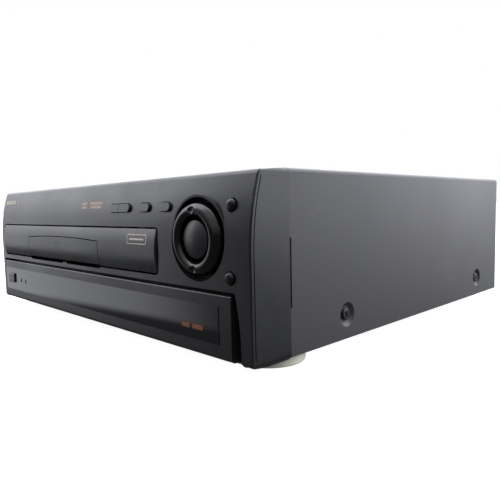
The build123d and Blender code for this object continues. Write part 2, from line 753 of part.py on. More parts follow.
lens_depth = spindle_depth + lens_radius
with BuildPart() as pickup_carriage:
    slab((spindle_x - 31, spindle_x + 31), sled_depth, sled_h)
    fillet(pickup_carriage.edges().filter_by(Axis.Z), 2)
    post(spindle_x, lens_depth, (sled_h[1], lens_seat), 4.5)
    for side in (-1, 1):
        rod_x = spindle_x + side * rod_offset
        pin_back(rod_x, rod_h, (sled_depth[0] - 1, sled_depth[1] + 1), rod_radius + run_gap, Mode.SUBTRACT)
    # rack on its right side
    sled_root_x = sled_pitch_x - 1.1 * sled_module
    sled_rack = (pinion_depth - sled_stroke - 8, pinion_depth + 6)
    slab((sled_root_x - 2.2, sled_root_x), sled_rack, sled_rack_h)
    slab((spindle_x + 30, sled_root_x), (sled_depth[0] + 5, sled_depth[1] - 5), sled_rack_h)
    teeth = rack_teeth(sled_pitch_x, 1, *sled_rack, pinion_depth, sled_module, sled_rack_h)
    extrude(teeth, amount=sled_rack_h[1] - sled_rack_h[0])
finish(pickup_carriage, "pickup_carriage")

with BuildPart() as pickup_lens:
    post(spindle_x, lens_depth, (lens_seat, lens_seat + 1.4), 3.4)
    fillet(pickup_lens.edges().group_by(Axis.Z)[-1], 1.2)
finish(pickup_lens, "pickup_lens")

with BuildPart() as sled_pinion:
    extrude(
        gear_sketch(level(sled_rack_h[0]), sled_teeth, sled_module).moved(
            Location((pinion_x, pinion_depth, 0))
        ),
        amount=sled_rack_h[1] - sled_rack_h[0],
    )
    post(pinion_x, pinion_depth, (mech_h[0] - 8, sled_rack_h[0]), 1.0)
finish(sled_pinion, "sled_pinion")

with BuildPart() as sled_motor:
    post(pinion_x, pinion_depth, (mech_h[0] - 14, mech_h[0]), 10)
    fillet(sled_motor.edges().group_by(Axis.Z)[0], 1)
    post(pinion_x, pinion_depth, (mech_h[0] - 9, mech_h[0] + 1), 1.0 + run_gap, Mode.SUBTRACT)
finish(sled_motor, "sled_motor")

with BuildPart() as lift_posts:
    for post_x in posts_x:
        for post_depth in posts_depth:
            post(post_x, post_depth, (pan_floor, mech_h[1] + lift + 5), post_radius)
            post(post_x, post_depth, (pan_floor, pan_floor + 6), post_radius + 3)
            post(post_x, post_depth, (flange_h - 4, mech_h[0] - fit_gap), post_radius + 1.5)
finish(lift_posts, "lift_posts")

# slide with a ramp under each pin of the mechanism plate
ramp_angle = 1 / slide_ratio
ramp_low = pin_h - (pin_radius + ramp_gap) * sqrt(1 + ramp_angle**2)
slide_stroke = lift * slide_ratio
slide_x = (
    (mech_x[0] - 1.5 - slide_thick, mech_x[0] - 1.5),
    (mech_x[1] + 1.5, mech_x[1] + 1.5 + slide_thick),
)
with BuildPart() as lift_slide:
    for bar_x in slide_x:
        slab(bar_x, (74.0, 340.0), (slide_base, 17.0))
        for pin_depth in ramp_pins:
            with BuildSketch(beside(bar_x[0])):
                with BuildLine():
                    top = pin_depth - slide_stroke
                    Polyline(
                        (top - 6, slide_base + 2),
                        (top - 6, ramp_low + slide_stroke * ramp_angle),
                        (top, ramp_low + slide_stroke * ramp_angle),
                        (pin_depth + 3, ramp_low - 3 * ramp_angle),
                        (pin_depth + 3, slide_base + 2),
                        (top - 6, slide_base + 2),
                    )
                make_face()
            extrude(amount=slide_thick)
    slab((slide_x[0][0], slide_x[1][1]), (74.0, 80.0), (slide_base, slide_base + 2))
finish(lift_slide, "lift_slide")

# ------------------------------------------------------------------ clamp over the disc
bridge_depth = (130.0, 200.0)
bridge_h = (90.0, 91.5)
clamp_drop = 4.0
clamp_h = (73.0, 74.6)
puck_h = (68.7, 72.7)
puck_radius = 22.0
stem_radius = 10.0
clamp_pin_offset = 32.0
clamp_pin_radius = 2.5

with BuildPart() as clamp_bridge:
    bridge_x = (left_guide_x[0], right_guide_x[1])
    slab(bridge_x, bridge_depth, bridge_h)
    for leg_x in ((bridge_x[0], bridge_x[0] + guide_wall), (bridge_x[1] - guide_wall, bridge_x[1])):
        slab(leg_x, bridge_depth, (guide_top, bridge_h[1]))
    for rib_depth in (bridge_depth[0], bridge_depth[1] - sheet):
        slab(bridge_x, (rib_depth, rib_depth + sheet), (bridge_h[0] - 7, bridge_h[1]))
    post(spindle_x, spindle_depth, (bridge_h[0] - 1, bridge_h[1] + 1), 16, Mode.SUBTRACT)
    for side in (-1, 1):
        post(spindle_x + side * clamp_pin_offset, spindle_depth, (68.0, bridge_h[0]), clamp_pin_radius)
finish(clamp_bridge, "clamp_bridge")

with BuildPart() as clamp_plate:
    with BuildSketch(level(clamp_h[0])):
        with Locations((spindle_x, spindle_depth)):
            RectangleRounded(2 * clamp_pin_offset + 16, 34, 6)
            Circle(stem_radius + fit_gap, mode=Mode.SUBTRACT)
        with Locations(
            (spindle_x - clamp_pin_offset, spindle_depth), (spindle_x + clamp_pin_offset, spindle_depth)
        ):
            Circle(clamp_pin_radius + run_gap, mode=Mode.SUBTRACT)
    extrude(amount=clamp_h[1] - clamp_h[0])
finish(clamp_plate, "clamp_plate")

with BuildPart() as clamper:
    post(spindle_x, spindle_depth, puck_h, puck_radius)
    fillet(clamper.edges().group_by(Axis.Z)[0], 1)
    post(spindle_x, spindle_depth, (puck_h[1], clamp_h[1] + fit_gap), stem_radius)
    post(spindle_x, spindle_depth, (clamp_h[1] + fit_gap, clamp_h[1] + 2.5), stem_radius + 4)
    post(spindle_x, spindle_depth, (puck_h[0] - 1, puck_h[0] + 5), cone_radius + 0.8, Mode.SUBTRACT)
finish(clamper, "clamper")

# ------------------------------------------------------------------ lower display panel
with BuildPart() as display_panel:
    with BuildSketch(beside(panel_x[0])):
        with BuildLine():
            front_line = Line((0, toe_round), (0, panel_top - 1))
            TangentArc((0, panel_top - 1), (1, panel_top), tangent=(0, 1))
            Polyline(
                (1, panel_top),
                (recess_depth, panel_top),
                (recess_depth, -(recess_depth - toe_round) * belly / (belly_depth - toe_round)),
                (toe_round, 0),
            )
            TangentArc((0, toe_round), (toe_round, 0), tangent=(0, -1))
        make_face()
    extrude(amount=panel_x[1] - panel_x[0])
    # hollow behind
    slab(
        (panel_x[0] + 2, panel_x[1] - 2),
        (window_thick + panel_web, recess_depth + 1),
        (1.5, panel_top - 2),
        Mode.SUBTRACT,
    )
    # seat of the window, and the way through to the display
    slab((window_x[0], window_x[1] + window_gap), (-1, window_thick), window_h, Mode.SUBTRACT)
    slab(tube_x, (0, 5), (tube_h[0] + 1, tube_h[1] - 1), Mode.SUBTRACT)
    slab(
        (power_x[0] - fit_gap, power_x[1] + fit_gap),
        (0, 5),
        (power_h[0] - fit_gap, power_h[1] + fit_gap),
        Mode.SUBTRACT,
    )
    for mark_x in marks_x:
        with Locations((mark_x, face_y + 2, foot_drop + mark_h)):
            Box(mark_size[0] + 2 * run_gap, 6, mark_size[1] + 2 * run_gap, mode=Mode.SUBTRACT)
finish(display_panel, "display_panel")

with BuildPart() as display_window:
    slab(window_x, (0, window_thick), (window_h[0] + run_gap, window_h[1] - run_gap))
    slab(
        (power_x[0] - fit_gap, power_x[1] + fit_gap),
        (-1, 5),
        (power_h[0] - fit_gap, power_h[1] + fit_gap),
        Mode.SUBTRACT,
    )
    for mark_x in marks_x:
        with Locations((mark_x, face_y + 2, foot_drop + mark_h)):
            Box(mark_size[0] + 2 * run_gap, 6, mark_size[1] + 2 * run_gap, mode=Mode.SUBTRACT)
finish(display_window, "display_window")

with BuildPart() as indicator_marks:
    for mark_x in marks_x:
        with Locations((mark_x, face_y + 3.4, foot_drop + mark_h)):
            Box(mark_size[0], 7, mark_size[1])
        pin_back(mark_x, mark_h, (6.9, display_board_depth), 1.5)
finish(indicator_marks, "indicator_marks")

with BuildPart() as display_tube:
    slab(tube_x, (12.0, 20.0), tube_h)
    fillet(display_tube.edges().filter_by(Axis.X), 1)
    slab((tube_x[0] + 6, tube_x[1] - 6), (19.5, display_board_depth), (tube_h[0] + 2, tube_h[0] + 3))
    slab((tube_x[0] + 6, tube_x[1] - 6), (19.5, display_board_depth), (tube_h[1] - 3, tube_h[1] - 2))
finish(display_tube, "display_tube")

with BuildPart() as display_board:
    slab((10 - half, half - 30), (display_board_depth, display_board_depth + board), (3.0, 40.0))
finish(display_board, "display_board")

collar = 1.4  # collars keep the keys from falling out
collar_start = window_thick + panel_web + run_gap
with BuildPart() as power_button:
    slab(power_x, (-power_proud, collar_start), power_h)
    fillet(power_button.faces().sort_by(Axis.Y)[0].edges(), 0.8)
    slab(
        (power_x[0] - collar, power_x[1] + collar),
        (collar_start, collar_start + collar),
        (power_h[0] - collar, power_h[1] + collar),
    )
    slab(
        (power_x[0] + 4, power_x[1] - 4),
        (collar_start, display_board_depth - 6),
        (power_h[0] + 2.5, power_h[1] - 2.5),
    )
finish(power_button, "power_button")

switch_body = 3.4
switch_reach = 1.6


def switch(x, height, back):
    """Push switch on the front of a board, with its plunger towards the key."""
    slab((x - 3, x + 3), (back - switch_body, back), (height - 3, height + 3))
    pin_back(x, height, (back - switch_body - switch_reach, back - switch_body), 1.7)


with BuildPart() as power_switch:
    switch(sum(power_x) / 2, sum(power_h) / 2, display_board_depth)
finish(power_switch, "power_switch")

# ------------------------------------------------------------------ dial ring, keys and their switches
ring_outer = 24.6
ring_inner = 15.4
ring_back = 7.0
button_radius = 12.6
button_rim = -0.9  # depth of the rim of the button's dome
button_dome = 3.7
stem_end = key_board_depth - switch_body - switch_reach - key_travel - 0.15

with BuildPart() as dial_ring:
    with BuildSketch(Plane(origin=(dial_x, face_y, foot_drop + dial_h), x_dir=(1, 0, 0), z_dir=(0, 0, 1))):
        with BuildLine():
            Line((ring_inner, ring_back), (ring_inner, 0))
            nose = ThreePointArc((ring_inner, 0), (ring_inner + 2.6, -ring_proud), (ring_outer - 2, -1.9))
            ThreePointArc(nose @ 1, (ring_outer - 0.5, 0.6), (ring_outer, 3.5))
            Polyline((ring_outer, 3.5), (ring_outer, ring_back), (ring_inner, ring_back))
        make_face()
    ring_axis = Axis((dial_x, face_y, foot_drop + dial_h), (0, 1, 0))
    revolve(axis=ring_axis)
    for side in (-1, 1):
        with Locations((dial_x, face_y - ring_proud - 3.6, foot_drop + dial_h + side * 20.0)):
            Sphere(5.0, mode=Mode.SUBTRACT)
        pin_back(dial_x, dial_h + side * ring_stem_offset, (ring_back - 1, stem_end - 0.9), 1.6)
        pivot = sorted((dial_x + side * (ring_outer - 1), dial_x + side * (cup_radius + cup_wall - 1)))
        pin_side(pivot, ring_pivot, dial_h, pivot_radius)
finish(dial_ring, "dial_ring")

with BuildPart() as centre_button:
    with BuildSketch(Plane(origin=(dial_x, face_y, foot_drop + dial_h), x_dir=(1, 0, 0), z_dir=(0, 0, 1))):
        with BuildLine():
            dome = TangentArc((0, -button_dome), (button_radius, button_rim), tangent=(1, 0))
            Polyline(dome @ 1, (button_radius, 9.4), (0, 9.4), dome @ 0)
        make_face()
    revolve(axis=ring_axis)
    pin_back(dial_x, dial_h, (9, stem_end), button_stem)
finish(centre_button, "centre_button")


def pill_key(outline_x, cut_x):
    """Key that fills a part of a pill-shaped hole, between two x."""
    start = skin_depth(key_h + key_height / 2 + 0.9) + skin + run_gap
    with BuildSketch(across(start)) as pill:
        with Locations((sum(outline_x) / 2, key_h)):
            SlotOverall(outline_x[1] - outline_x[0], key_height)
    extrude(pill.sketch, amount=start + key_proud)
    front = face_profile(outline_x[0] - 1, -key_proud, brow_height, lean_start - 5, start)
    extrude(front, amount=outline_x[1] - outline_x[0] + 2, mode=Mode.INTERSECT)
    slab(
        (cut_x[0] + 0.4, cut_x[1] - 0.4),
        (start, start + collar),
        (key_h - key_height / 2 - 0.9, key_h + key_height / 2 + 0.9),
    )
    pin_back(sum(cut_x) / 2, key_h, (start, stem_end), 1.8)


def small_key(height):
    """Domed round key."""
    top = skin_depth(height) - small_key_proud
    start = skin_depth(height + small_key_radius + collar) + skin + run_gap
    pin_back(small_key_x, height, (top, start), small_key_radius)
    pin_back(small_key_x, height, (start, start + collar), small_key_radius + collar)
    pin_back(small_key_x, height, (start, stem_end), 1.8)


split_x = sum(double_key_x) / 2
with BuildPart() as double_key_left:
    pill_key(double_key_x, (double_key_x[0], split_x - split_gap / 2))
    slab((split_x - split_gap / 2, double_key_x[1] + 3), (-5, 12), (key_h - 6, key_h + 6), Mode.SUBTRACT)
finish(double_key_left, "double_key_left")

with BuildPart() as double_key_right:
    pill_key(double_key_x, (split_x + split_gap / 2, double_key_x[1]))
    slab((double_key_x[0] - 3, split_x + split_gap / 2), (-5, 12), (key_h - 6, key_h + 6), Mode.SUBTRACT)
finish(double_key_right, "double_key_right")

with BuildPart() as single_key_left:
    pill_key(single_keys_x[0], single_keys_x[0])
finish(single_key_left, "single_key_left")

with BuildPart() as single_key_right:
    pill_key(single_keys_x[1], single_keys_x[1])
finish(single_key_right, "single_key_right")

with BuildPart() as small_key_upper:
    small_key(small_keys_h[0])
    fillet(small_key_upper.faces().sort_by(Axis.Y)[0].edges(), small_key_dome)
finish(small_key_upper, "small_key_upper")

with BuildPart() as small_key_lower:
    small_key(small_keys_h[1])
    fillet(small_key_lower.faces().sort_by(Axis.Y)[0].edges(), small_key_dome)
finish(small_key_lower, "small_key_lower")

with BuildPart() as key_board:
    slab((half - 174, half - 4), (key_board_depth, key_board_depth + board), (89.0, 116.0))
    slab((half - 91.5, half - 4), (key_board_depth, key_board_depth + board), (46.0, 89.5))
finish(key_board, "key_board")

quarter = (double_key_x[1] - double_key_x[0]) / 4
with BuildPart() as key_switches:
    for switch_x in (split_x - quarter, split_x + quarter, *(sum(span) / 2 for span in single_keys_x)):
        switch(switch_x, key_h, key_board_depth)
    for switch_h in (small_keys_h[0], small_keys_h[1]):
        switch(small_key_x, switch_h, key_board_depth)
    switch(dial_x, dial_h, key_board_depth)
    for side in (-1, 1):
        switch(dial_x, dial_h + side * ring_stem_offset, key_board_depth)
finish(key_switches, "key_switches")

# ------------------------------------------------------------------ cabinet
cover_corner = 3.0
slot_width = 1.4
screw_depths = (98.2, 336.0)
screw_h = 18.0
dish_radius = 9.0
dish_floor = 6.0
dish_deep = 2.4
screw_hole = 1.9
main_board_x = (10 - half, 90 - half)
power_board_x = (half - 89, half - 7)
flange_x = half - sheet - dish_deep  # outer face of the pan's side flanges
flange_top = 30.0
pan_bottom = pan_floor - sheet
front_feet = (half - 30.2, 46.0)
rear_feet = (half - 60, 325.0)
foot_radius = 25.8
pad_radius = 19.0
pad_proud = 0.6
pad_h = (-foot_drop, 1.5 - foot_drop)

screw_head = 4.3
screw_core = 1.5
head_tall = 1.8
rear_flange = 14.0  # height of the cover's flange behind the rear panel
rear_screw_h = cover_height - rear_flange / 2
rear_screws_x = (30 - half, 0.0, half - 30)
vent_pitch = 7.0

with BuildPart() as top_cover:
    slab((-half, half), (seam_depth + run_gap, rear_depth), (0, cover_height))
    fillet(top_cover.edges().filter_by(Axis.Y).group_by(Axis.Z)[-1], cover_corner)
    inner_x = (-half + sheet, half - sheet)
    slab(inner_x, (seam_depth, rear_depth + 1), (-1, cover_height - sheet), Mode.SUBTRACT)
    slab(inner_x, (rear_face + run_gap, rear_depth), (cover_height - rear_flange, cover_height - sheet))
    for screw_x in rear_screws_x:
        pin_back(screw_x, rear_screw_h, (rear_face - 1, rear_depth + 1), screw_hole, Mode.SUBTRACT)
    for side in (-1, 1):
        edge_x = (side * half - 2, side * half + 2)
        slab(edge_x, (seam_depth, seam_depth + slot_width), slot_h, Mode.SUBTRACT)
        for screw_depth in screw_depths:
            back_x = side * (half - sheet - dish_deep / 2)
            spot = (back_x, face_y + screw_depth, foot_drop + screw_h)
            with Locations(Location(spot, (0, side * 90, 0))):
                Cone(dish_floor + 0.8, dish_radius, dish_deep)
            front_x = side * (half - dish_deep / 2)
            spot = (front_x, face_y + screw_depth, foot_drop + screw_h)
            with Locations(Location(spot, (0, side * 90, 0))):
                Cone(dish_floor, dish_radius, dish_deep, mode=Mode.SUBTRACT)
            wall = sorted((side * (half - 6), side * half))
            pin_side(wall, screw_depth, screw_h, screw_hole, Mode.SUBTRACT)
    # vents over the rear of the right half
    with BuildSketch(level(cover_height + 1)):
        for row_depth in (300.0, 340.0):
            with Locations((half - 70, row_depth)):
                with GridLocations(vent_pitch, 1, 14, 1):
                    SlotOverall(30, 3, rotation=90)
    extrude(amount=-5, mode=Mode.SUBTRACT)
finish(top_cover, "top_cover")

with BuildPart() as base_pan:
    slab((-flange_x, flange_x), (seam_depth + 0.5, rear_face - sheet), (pan_bottom, pan_floor))
    for side in (-1, 1):
        flange = sorted((side * flange_x, side * (flange_x - sheet)))
        slab(flange, (seam_depth + 4, rear_face - sheet), (pan_bottom, flange_top))
        for screw_depth in screw_depths:
            thread = sorted((side * (flange_x - 3), side * (flange_x + 1)))
            pin_side(thread, screw_depth, screw_h, screw_core, Mode.SUBTRACT)
    slab((-flange_x, flange_x), (seam_depth + 0.5, seam_depth + 0.5 + sheet), (pan_bottom, 14))
    # ribs that the lift slide runs on
    for bar_x in slide_x:
        slab(bar_x, (104, 334), (pan_floor - 0.5, slide_base - 0.1))
    # board stand-offs
    for stand_x in (main_board_x[0] + 10, main_board_x[1] - 8, power_board_x[0] + 7, power_board_x[1] - 7):
        for stand_depth in (70.0, 200.0):
            post(stand_x, stand_depth, (pan_floor - 0.5, 9.0), 3.5)
    with BuildSketch(level(pan_bottom - 1)):
        for vent_x in (50 - half, half - 50):
            with Locations((vent_x, 255)):
                with GridLocations(vent_pitch, 1, 8, 1):
                    SlotOverall(40, 3, rotation=90)
    extrude(amount=5, mode=Mode.SUBTRACT)
finish(base_pan, "base_pan")

with BuildPart() as feet:
    for side in (-1, 1):
        for foot_x, foot_depth in (front_feet, rear_feet):
            post(side * foot_x, foot_depth, (pad_proud - foot_drop, pan_bottom), foot_radius)
    fillet(feet.edges().group_by(Axis.Z)[0], 1.6)
    for side in (-1, 1):
        for foot_x, foot_depth in (front_feet, rear_feet):
            post(side * foot_x, foot_depth, pad_h, pad_radius + run_gap, Mode.SUBTRACT)
    # the front pair clears the front moulding's hanging underside
    slab((-half, half), (0, seam_depth + fit_gap), (-belly - fit_gap, 5), Mode.SUBTRACT)
finish(feet, "feet")

with BuildPart() as foot_pads:
    for side in (-1, 1):
        for foot_x, foot_depth in (front_feet, rear_feet):
            post(side * foot_x, foot_depth, pad_h, pad_radius)
finish(foot_pads, "foot_pads")

panel_half = half - sheet - 0.2
jack_columns = (34 - half, 54 - half, 74 - half)
jack_rows = (24.0, 42.0)
video_x = 98 - half
optical_x = 120 - half
control_x = 140 - half
socket_h = 33.0
jack_radius = 4.1
jack_block = 5.5
inlet_x = half - 45
inlet_h = 26.0
inlet_size = (26.0, 20.0)

with BuildPart() as rear_panel:
    slab((-panel_half, panel_half), (rear_face - sheet, rear_face), (pan_bottom, cover_height - sheet - 0.2))
    slab((-panel_half + 4, panel_half - 4), (rear_face - 12, rear_face), (pan_floor, pan_floor + sheet))
    for column in jack_columns:
        for row in jack_rows:
            pin_back(column, row, (rear_face - 3, rear_face + 1), jack_radius + fit_gap, Mode.SUBTRACT)
    pin_back(video_x, socket_h, (rear_face - 3, rear_face + 1), 6.3, Mode.SUBTRACT)
    slab(
        (optical_x - 5.3, optical_x + 5.3),
        (rear_face - 3, rear_face + 1),
        (socket_h - 5.3, socket_h + 5.3),
        Mode.SUBTRACT,
    )
    for row in jack_rows:
        pin_back(control_x, row, (rear_face - 3, rear_face + 1), 3.3, Mode.SUBTRACT)
    slab(
        (inlet_x - inlet_size[0] / 2, inlet_x + inlet_size[0] / 2),
        (rear_face - 3, rear_face + 1),
        (inlet_h - inlet_size[1] / 2, inlet_h + inlet_size[1] / 2),
        Mode.SUBTRACT,
    )
    for screw_x in rear_screws_x:
        pin_back(screw_x, rear_screw_h, (rear_face - 3, rear_face + 1), screw_core, Mode.SUBTRACT)
    with BuildSketch(across(rear_face + 1)):
        for row_h in (58.0, 84.0):
            with Locations((half - 140, row_h)):
                with GridLocations(vent_pitch, 1, 18, 1):
                    SlotOverall(20, 3, rotation=90)
    extrude(amount=3, mode=Mode.SUBTRACT)
finish(rear_panel, "rear_panel")

with BuildPart() as cover_screws:
    for side in (-1, 1):
        for screw_depth in screw_depths:
            seat = side * (half - dish_deep)
            pin_side(sorted((seat, seat + side * head_tall)), screw_depth, screw_h, screw_head)
            shank = sorted((seat, side * (flange_x - sheet - fit_gap / 2)))
            pin_side(shank, screw_depth, screw_h, screw_core)
    for screw_x in rear_screws_x:
        pin_back(screw_x, rear_screw_h, (rear_depth, rear_depth + head_tall), screw_head)
        pin_back(screw_x, rear_screw_h, (rear_face - 6, rear_depth), screw_core)
    heads = cover_screws.faces().filter_by(GeomType.PLANE)
    outer = heads.group_by(Axis.X)[0] + heads.group_by(Axis.X)[-1] + heads.group_by(Axis.Y)[-1]
    fillet(outer.edges(), 0.9)
    for side in (-1, 1):
        for screw_depth in screw_depths:
            tip = side * (half - dish_deep + head_tall)
            for turn in (0, 90):
                spot = (tip, face_y + screw_depth, foot_drop + screw_h)
                with Locations(Location(spot, (turn + 45, 0, 0))):
                    Box(2, 5, 0.9, mode=Mode.SUBTRACT)
    for screw_x in rear_screws_x:
        for turn in (0, 90):
            spot = (screw_x, face_y + rear_depth + head_tall, foot_drop + rear_screw_h)
            with Locations(Location(spot, (0, turn, 0))):
                Box(5, 2, 0.9, mode=Mode.SUBTRACT)
finish(cover_screws, "cover_screws")

# ------------------------------------------------------------------ sockets at the rear
with BuildPart() as jack_board:
    slab((20 - half, 156 - half), (jack_board_depth - board, jack_board_depth), (12.0, 54.0))
finish(jack_board, "jack_board")

with BuildPart() as phono_jacks:
    for column in jack_columns:
        for row in jack_rows:
            slab(
                (column - jack_block, column + jack_block),
                (jack_board_depth, rear_face - sheet),
                (row - jack_block, row + jack_block),
            )
            pin_back(column, row, (rear_face - 3, rear_face + jack_reach), jack_radius)
            pin_back(column, row, (rear_face + 1, rear_face + jack_reach + 1), 3.2, Mode.SUBTRACT)
            pin_back(column, row, (rear_face, rear_face + jack_reach - 1), 2.4)
            pin_back(column, row, (rear_face + 2, rear_face + jack_reach + 1), 1.6, Mode.SUBTRACT)
finish(phono_jacks, "phono_jacks")

with BuildPart() as signal_sockets:
    # round video socket with four contacts
    pin_back(video_x, socket_h, (jack_board_depth, rear_face + 1), 6.0)
    pin_back(video_x, socket_h, (rear_face - 6, rear_face + 2), 4.6, Mode.SUBTRACT)
    for contact_x, contact_h in ((-2.2, -1.6), (2.2, -1.6), (-1.6, 1.8), (1.6, 1.8)):
        pin_back(video_x + contact_x, socket_h + contact_h, (rear_face - 6.5, rear_face - 1), 0.5)
    # square optical socket
    slab(
        (optical_x - 5, optical_x + 5), (jack_board_depth, rear_face + 1.2), (socket_h - 5, socket_h + 5)
    )
    slab(
        (optical_x - 3.6, optical_x + 3.6),
        (rear_face - 6, rear_face + 2),
        (socket_h - 3.6, socket_h + 3.6),
        Mode.SUBTRACT,
    )
    # two control jacks
    for row in jack_rows:
        slab((control_x - 4.5, control_x + 4.5), (jack_board_depth, rear_face - sheet), (row - 5, row + 5))
        pin_back(control_x, row, (rear_face - 3, rear_face + 1), 3.0)
        pin_back(control_x, row, (rear_face - 12, rear_face + 2), 1.8, Mode.SUBTRACT)
finish(signal_sockets, "signal_sockets")

with BuildPart() as mains_inlet:
    slab(
        (inlet_x - inlet_size[0] / 2 + run_gap, inlet_x + inlet_size[0] / 2 - run_gap),
        (rear_face - 18, rear_face),
        (inlet_h - inlet_size[1] / 2 + run_gap, inlet_h + inlet_size[1] / 2 - run_gap),
    )
    slab(
        (inlet_x - inlet_size[0] / 2 - 3, inlet_x + inlet_size[0] / 2 + 3),
        (rear_face, rear_face + 1.6),
        (inlet_h - inlet_size[1] / 2 - 2, inlet_h + inlet_size[1] / 2 + 2),
    )
    with BuildSketch(across(rear_face + 2)):
        with Locations((inlet_x - 4, inlet_h), (inlet_x + 4, inlet_h)):
            Circle(4.3)
        with Locations((inlet_x, inlet_h)):
            Rectangle(8, 6)
    extrude(amount=14, mode=Mode.SUBTRACT)
    for side in (-1, 1):
        pin_back(inlet_x + side * 4.2, inlet_h, (rear_face - 13, rear_face - 2), 1.2)
finish(mains_inlet, "mains_inlet")

# ------------------------------------------------------------------ boards and power supply
board_h = (9.0, 9.0 + board)
main_board_depth = (62.0, mech_depth[1] - 2)
power_board_depth = (62.0, 238.0)

with BuildPart() as main_board:
    slab(main_board_x, main_board_depth, board_h)
finish(main_board, "main_board")

with BuildPart() as chips:
    for row in range(5):
        chip_x = main_board_x[0] + 35 + 14 * (row % 2)
        chip_depth = 105.0 + 52 * row
        chip_half = 12.0 - 3 * (row % 2)
        slab(
            (chip_x - chip_half, chip_x + chip_half),
            (chip_depth - chip_half, chip_depth + chip_half),
            (board_h[1], board_h[1] + 3),
        )
finish(chips, "chips")

with BuildPart() as capacitors:
    for small_depth in (85.0, 200.0, 290.0):
        post(main_board_x[1] - 12, small_depth, (board_h[1], board_h[1] + 12), 5)
    for large_x in (power_board_x[0] + 29, power_board_x[0] + 59):
        post(large_x, 190, (board_h[1], board_h[1] + 32), 11)
    tops = capacitors.faces().filter_by(Axis.Z).filter_by(lambda f: f.center().Z > foot_drop + 15)
    fillet(tops.edges(), 0.8)
finish(capacitors, "capacitors")

with BuildPart() as power_board:
    slab(power_board_x, power_board_depth, board_h)
finish(power_board, "power_board")

with BuildPart() as heat_sink:
    sink_x = (power_board_x[0] + 9, power_board_x[0] + 75)
    sink_h = (board_h[1], 48.0)
    slab(sink_x, (150.0, 153.0), sink_h)
    for fin in range(9):
        fin_x = sink_x[0] + 1 + 8 * fin
        slab((fin_x - 0.8, fin_x + 0.8), (138.0, 150.5), sink_h)
finish(heat_sink, "heat_sink")

core_x = (power_board_x[0] + 7, power_board_x[0] + 71)
core_depth = (268.0, 314.0)
core_h = (pan_floor, 54.0)
with BuildPart() as transformer_core:
    slab(core_x, core_depth, core_h)
    for window in ((core_x[0] + 11, core_x[0] + 22), (core_x[1] - 22, core_x[1] - 11)):
        slab(window, (core_depth[0] - 1, core_depth[1] + 1), (core_h[0] + 11, core_h[1] - 11), Mode.SUBTRACT)
    for ear_x in ((core_x[0] - 8, core_x[0]), (core_x[1], core_x[1] + 8)):
        slab(ear_x, core_depth, (pan_floor, pan_floor + 2))
finish(transformer_core, "transformer_core")

with BuildPart() as transformer_coil:
    slab(
        (core_x[0] + 11.2, core_x[1] - 11.2),
        (core_depth[0] - 10, core_depth[1] + 10),
        (core_h[0] + 11.2, core_h[1] - 11.2),
    )
    fillet(transformer_coil.edges().filter_by(Axis.Z), 4)
    slab(
        (core_x[0] + 22 - 0.1, core_x[1] - 22 + 0.1),
        (core_depth[0] - 0.1, core_depth[1] + 0.1),
        (core_h[0], core_h[1]),
        Mode.SUBTRACT,
    )
finish(transformer_coil, "transformer_coil")
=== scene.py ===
import json
import math

import bpy
from mathutils import Matrix, Vector


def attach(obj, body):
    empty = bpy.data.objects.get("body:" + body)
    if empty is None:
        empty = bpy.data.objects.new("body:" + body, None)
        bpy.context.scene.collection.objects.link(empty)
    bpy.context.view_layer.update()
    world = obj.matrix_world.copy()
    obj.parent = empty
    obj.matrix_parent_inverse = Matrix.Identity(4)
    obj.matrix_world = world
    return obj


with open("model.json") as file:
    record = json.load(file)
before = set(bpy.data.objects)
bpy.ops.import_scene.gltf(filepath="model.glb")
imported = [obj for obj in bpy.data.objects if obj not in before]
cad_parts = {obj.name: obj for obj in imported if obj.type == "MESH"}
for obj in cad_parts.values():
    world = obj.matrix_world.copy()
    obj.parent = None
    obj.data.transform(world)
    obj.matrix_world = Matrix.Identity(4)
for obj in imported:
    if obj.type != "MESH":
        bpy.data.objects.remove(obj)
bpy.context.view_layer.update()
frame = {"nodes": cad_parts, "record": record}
nodes = frame["nodes"]

# Depth is measured from the flat of the front, height from the cover's bottom edge, in millimetres.
FACE_Y = -196.1
FOOT_DROP = 9.0
REAR_DEPTH = 387.7

# The front leans back above LEAN_START, along an arc that goes LEAN_DEPTH deep over LEAN_RISE.
LEAN_START = 69.0
LEAN_DEPTH = 8.0
LEAN_RISE = 49.2
LEAN_RADIUS = (LEAN_DEPTH ** 2 + LEAN_RISE ** 2) / (2 * LEAN_DEPTH)


def at(x, depth, height):
    """Point of the shared frame, in metres."""
    return Vector((x, FACE_Y + depth, FOOT_DROP + height)) / 1000.0


def flat_depth(_height):
    """Depth of the flat lower part of the front, the same at every height."""
    return 0.0


def skin_depth(height):
    """Depth of the front's leaning upper part at a height."""
    rise = max(0.0, height - LEAN_START)
    return LEAN_RADIUS - math.sqrt(LEAN_RADIUS ** 2 - rise ** 2)


# ---------------------------------------------------------------- materials
CHARCOAL = (0.017, 0.0175, 0.019)
DUST = (0.42, 0.41, 0.39)
SMEAR = (0.32, 0.32, 0.33)
BARE_CHIP = (0.5, 0.5, 0.5)
BOARD_BROWN = (0.20, 0.105, 0.035)
BOARD_TRACK = (0.32, 0.19, 0.075)
BOARD_LANE = (0.36, 0.23, 0.10)
SOLDER = (0.62, 0.62, 0.6)
JACK_WHITE = (0.68, 0.66, 0.6)
JACK_YELLOW = (0.75, 0.5, 0.03)
JACK_RED = (0.5, 0.02, 0.02)
JACK_GRIME = (0.2, 0.18, 0.15)

# x of the two limits between the three columns of phono jacks, in metres
JACK_COLUMNS = (-0.166, -0.146)


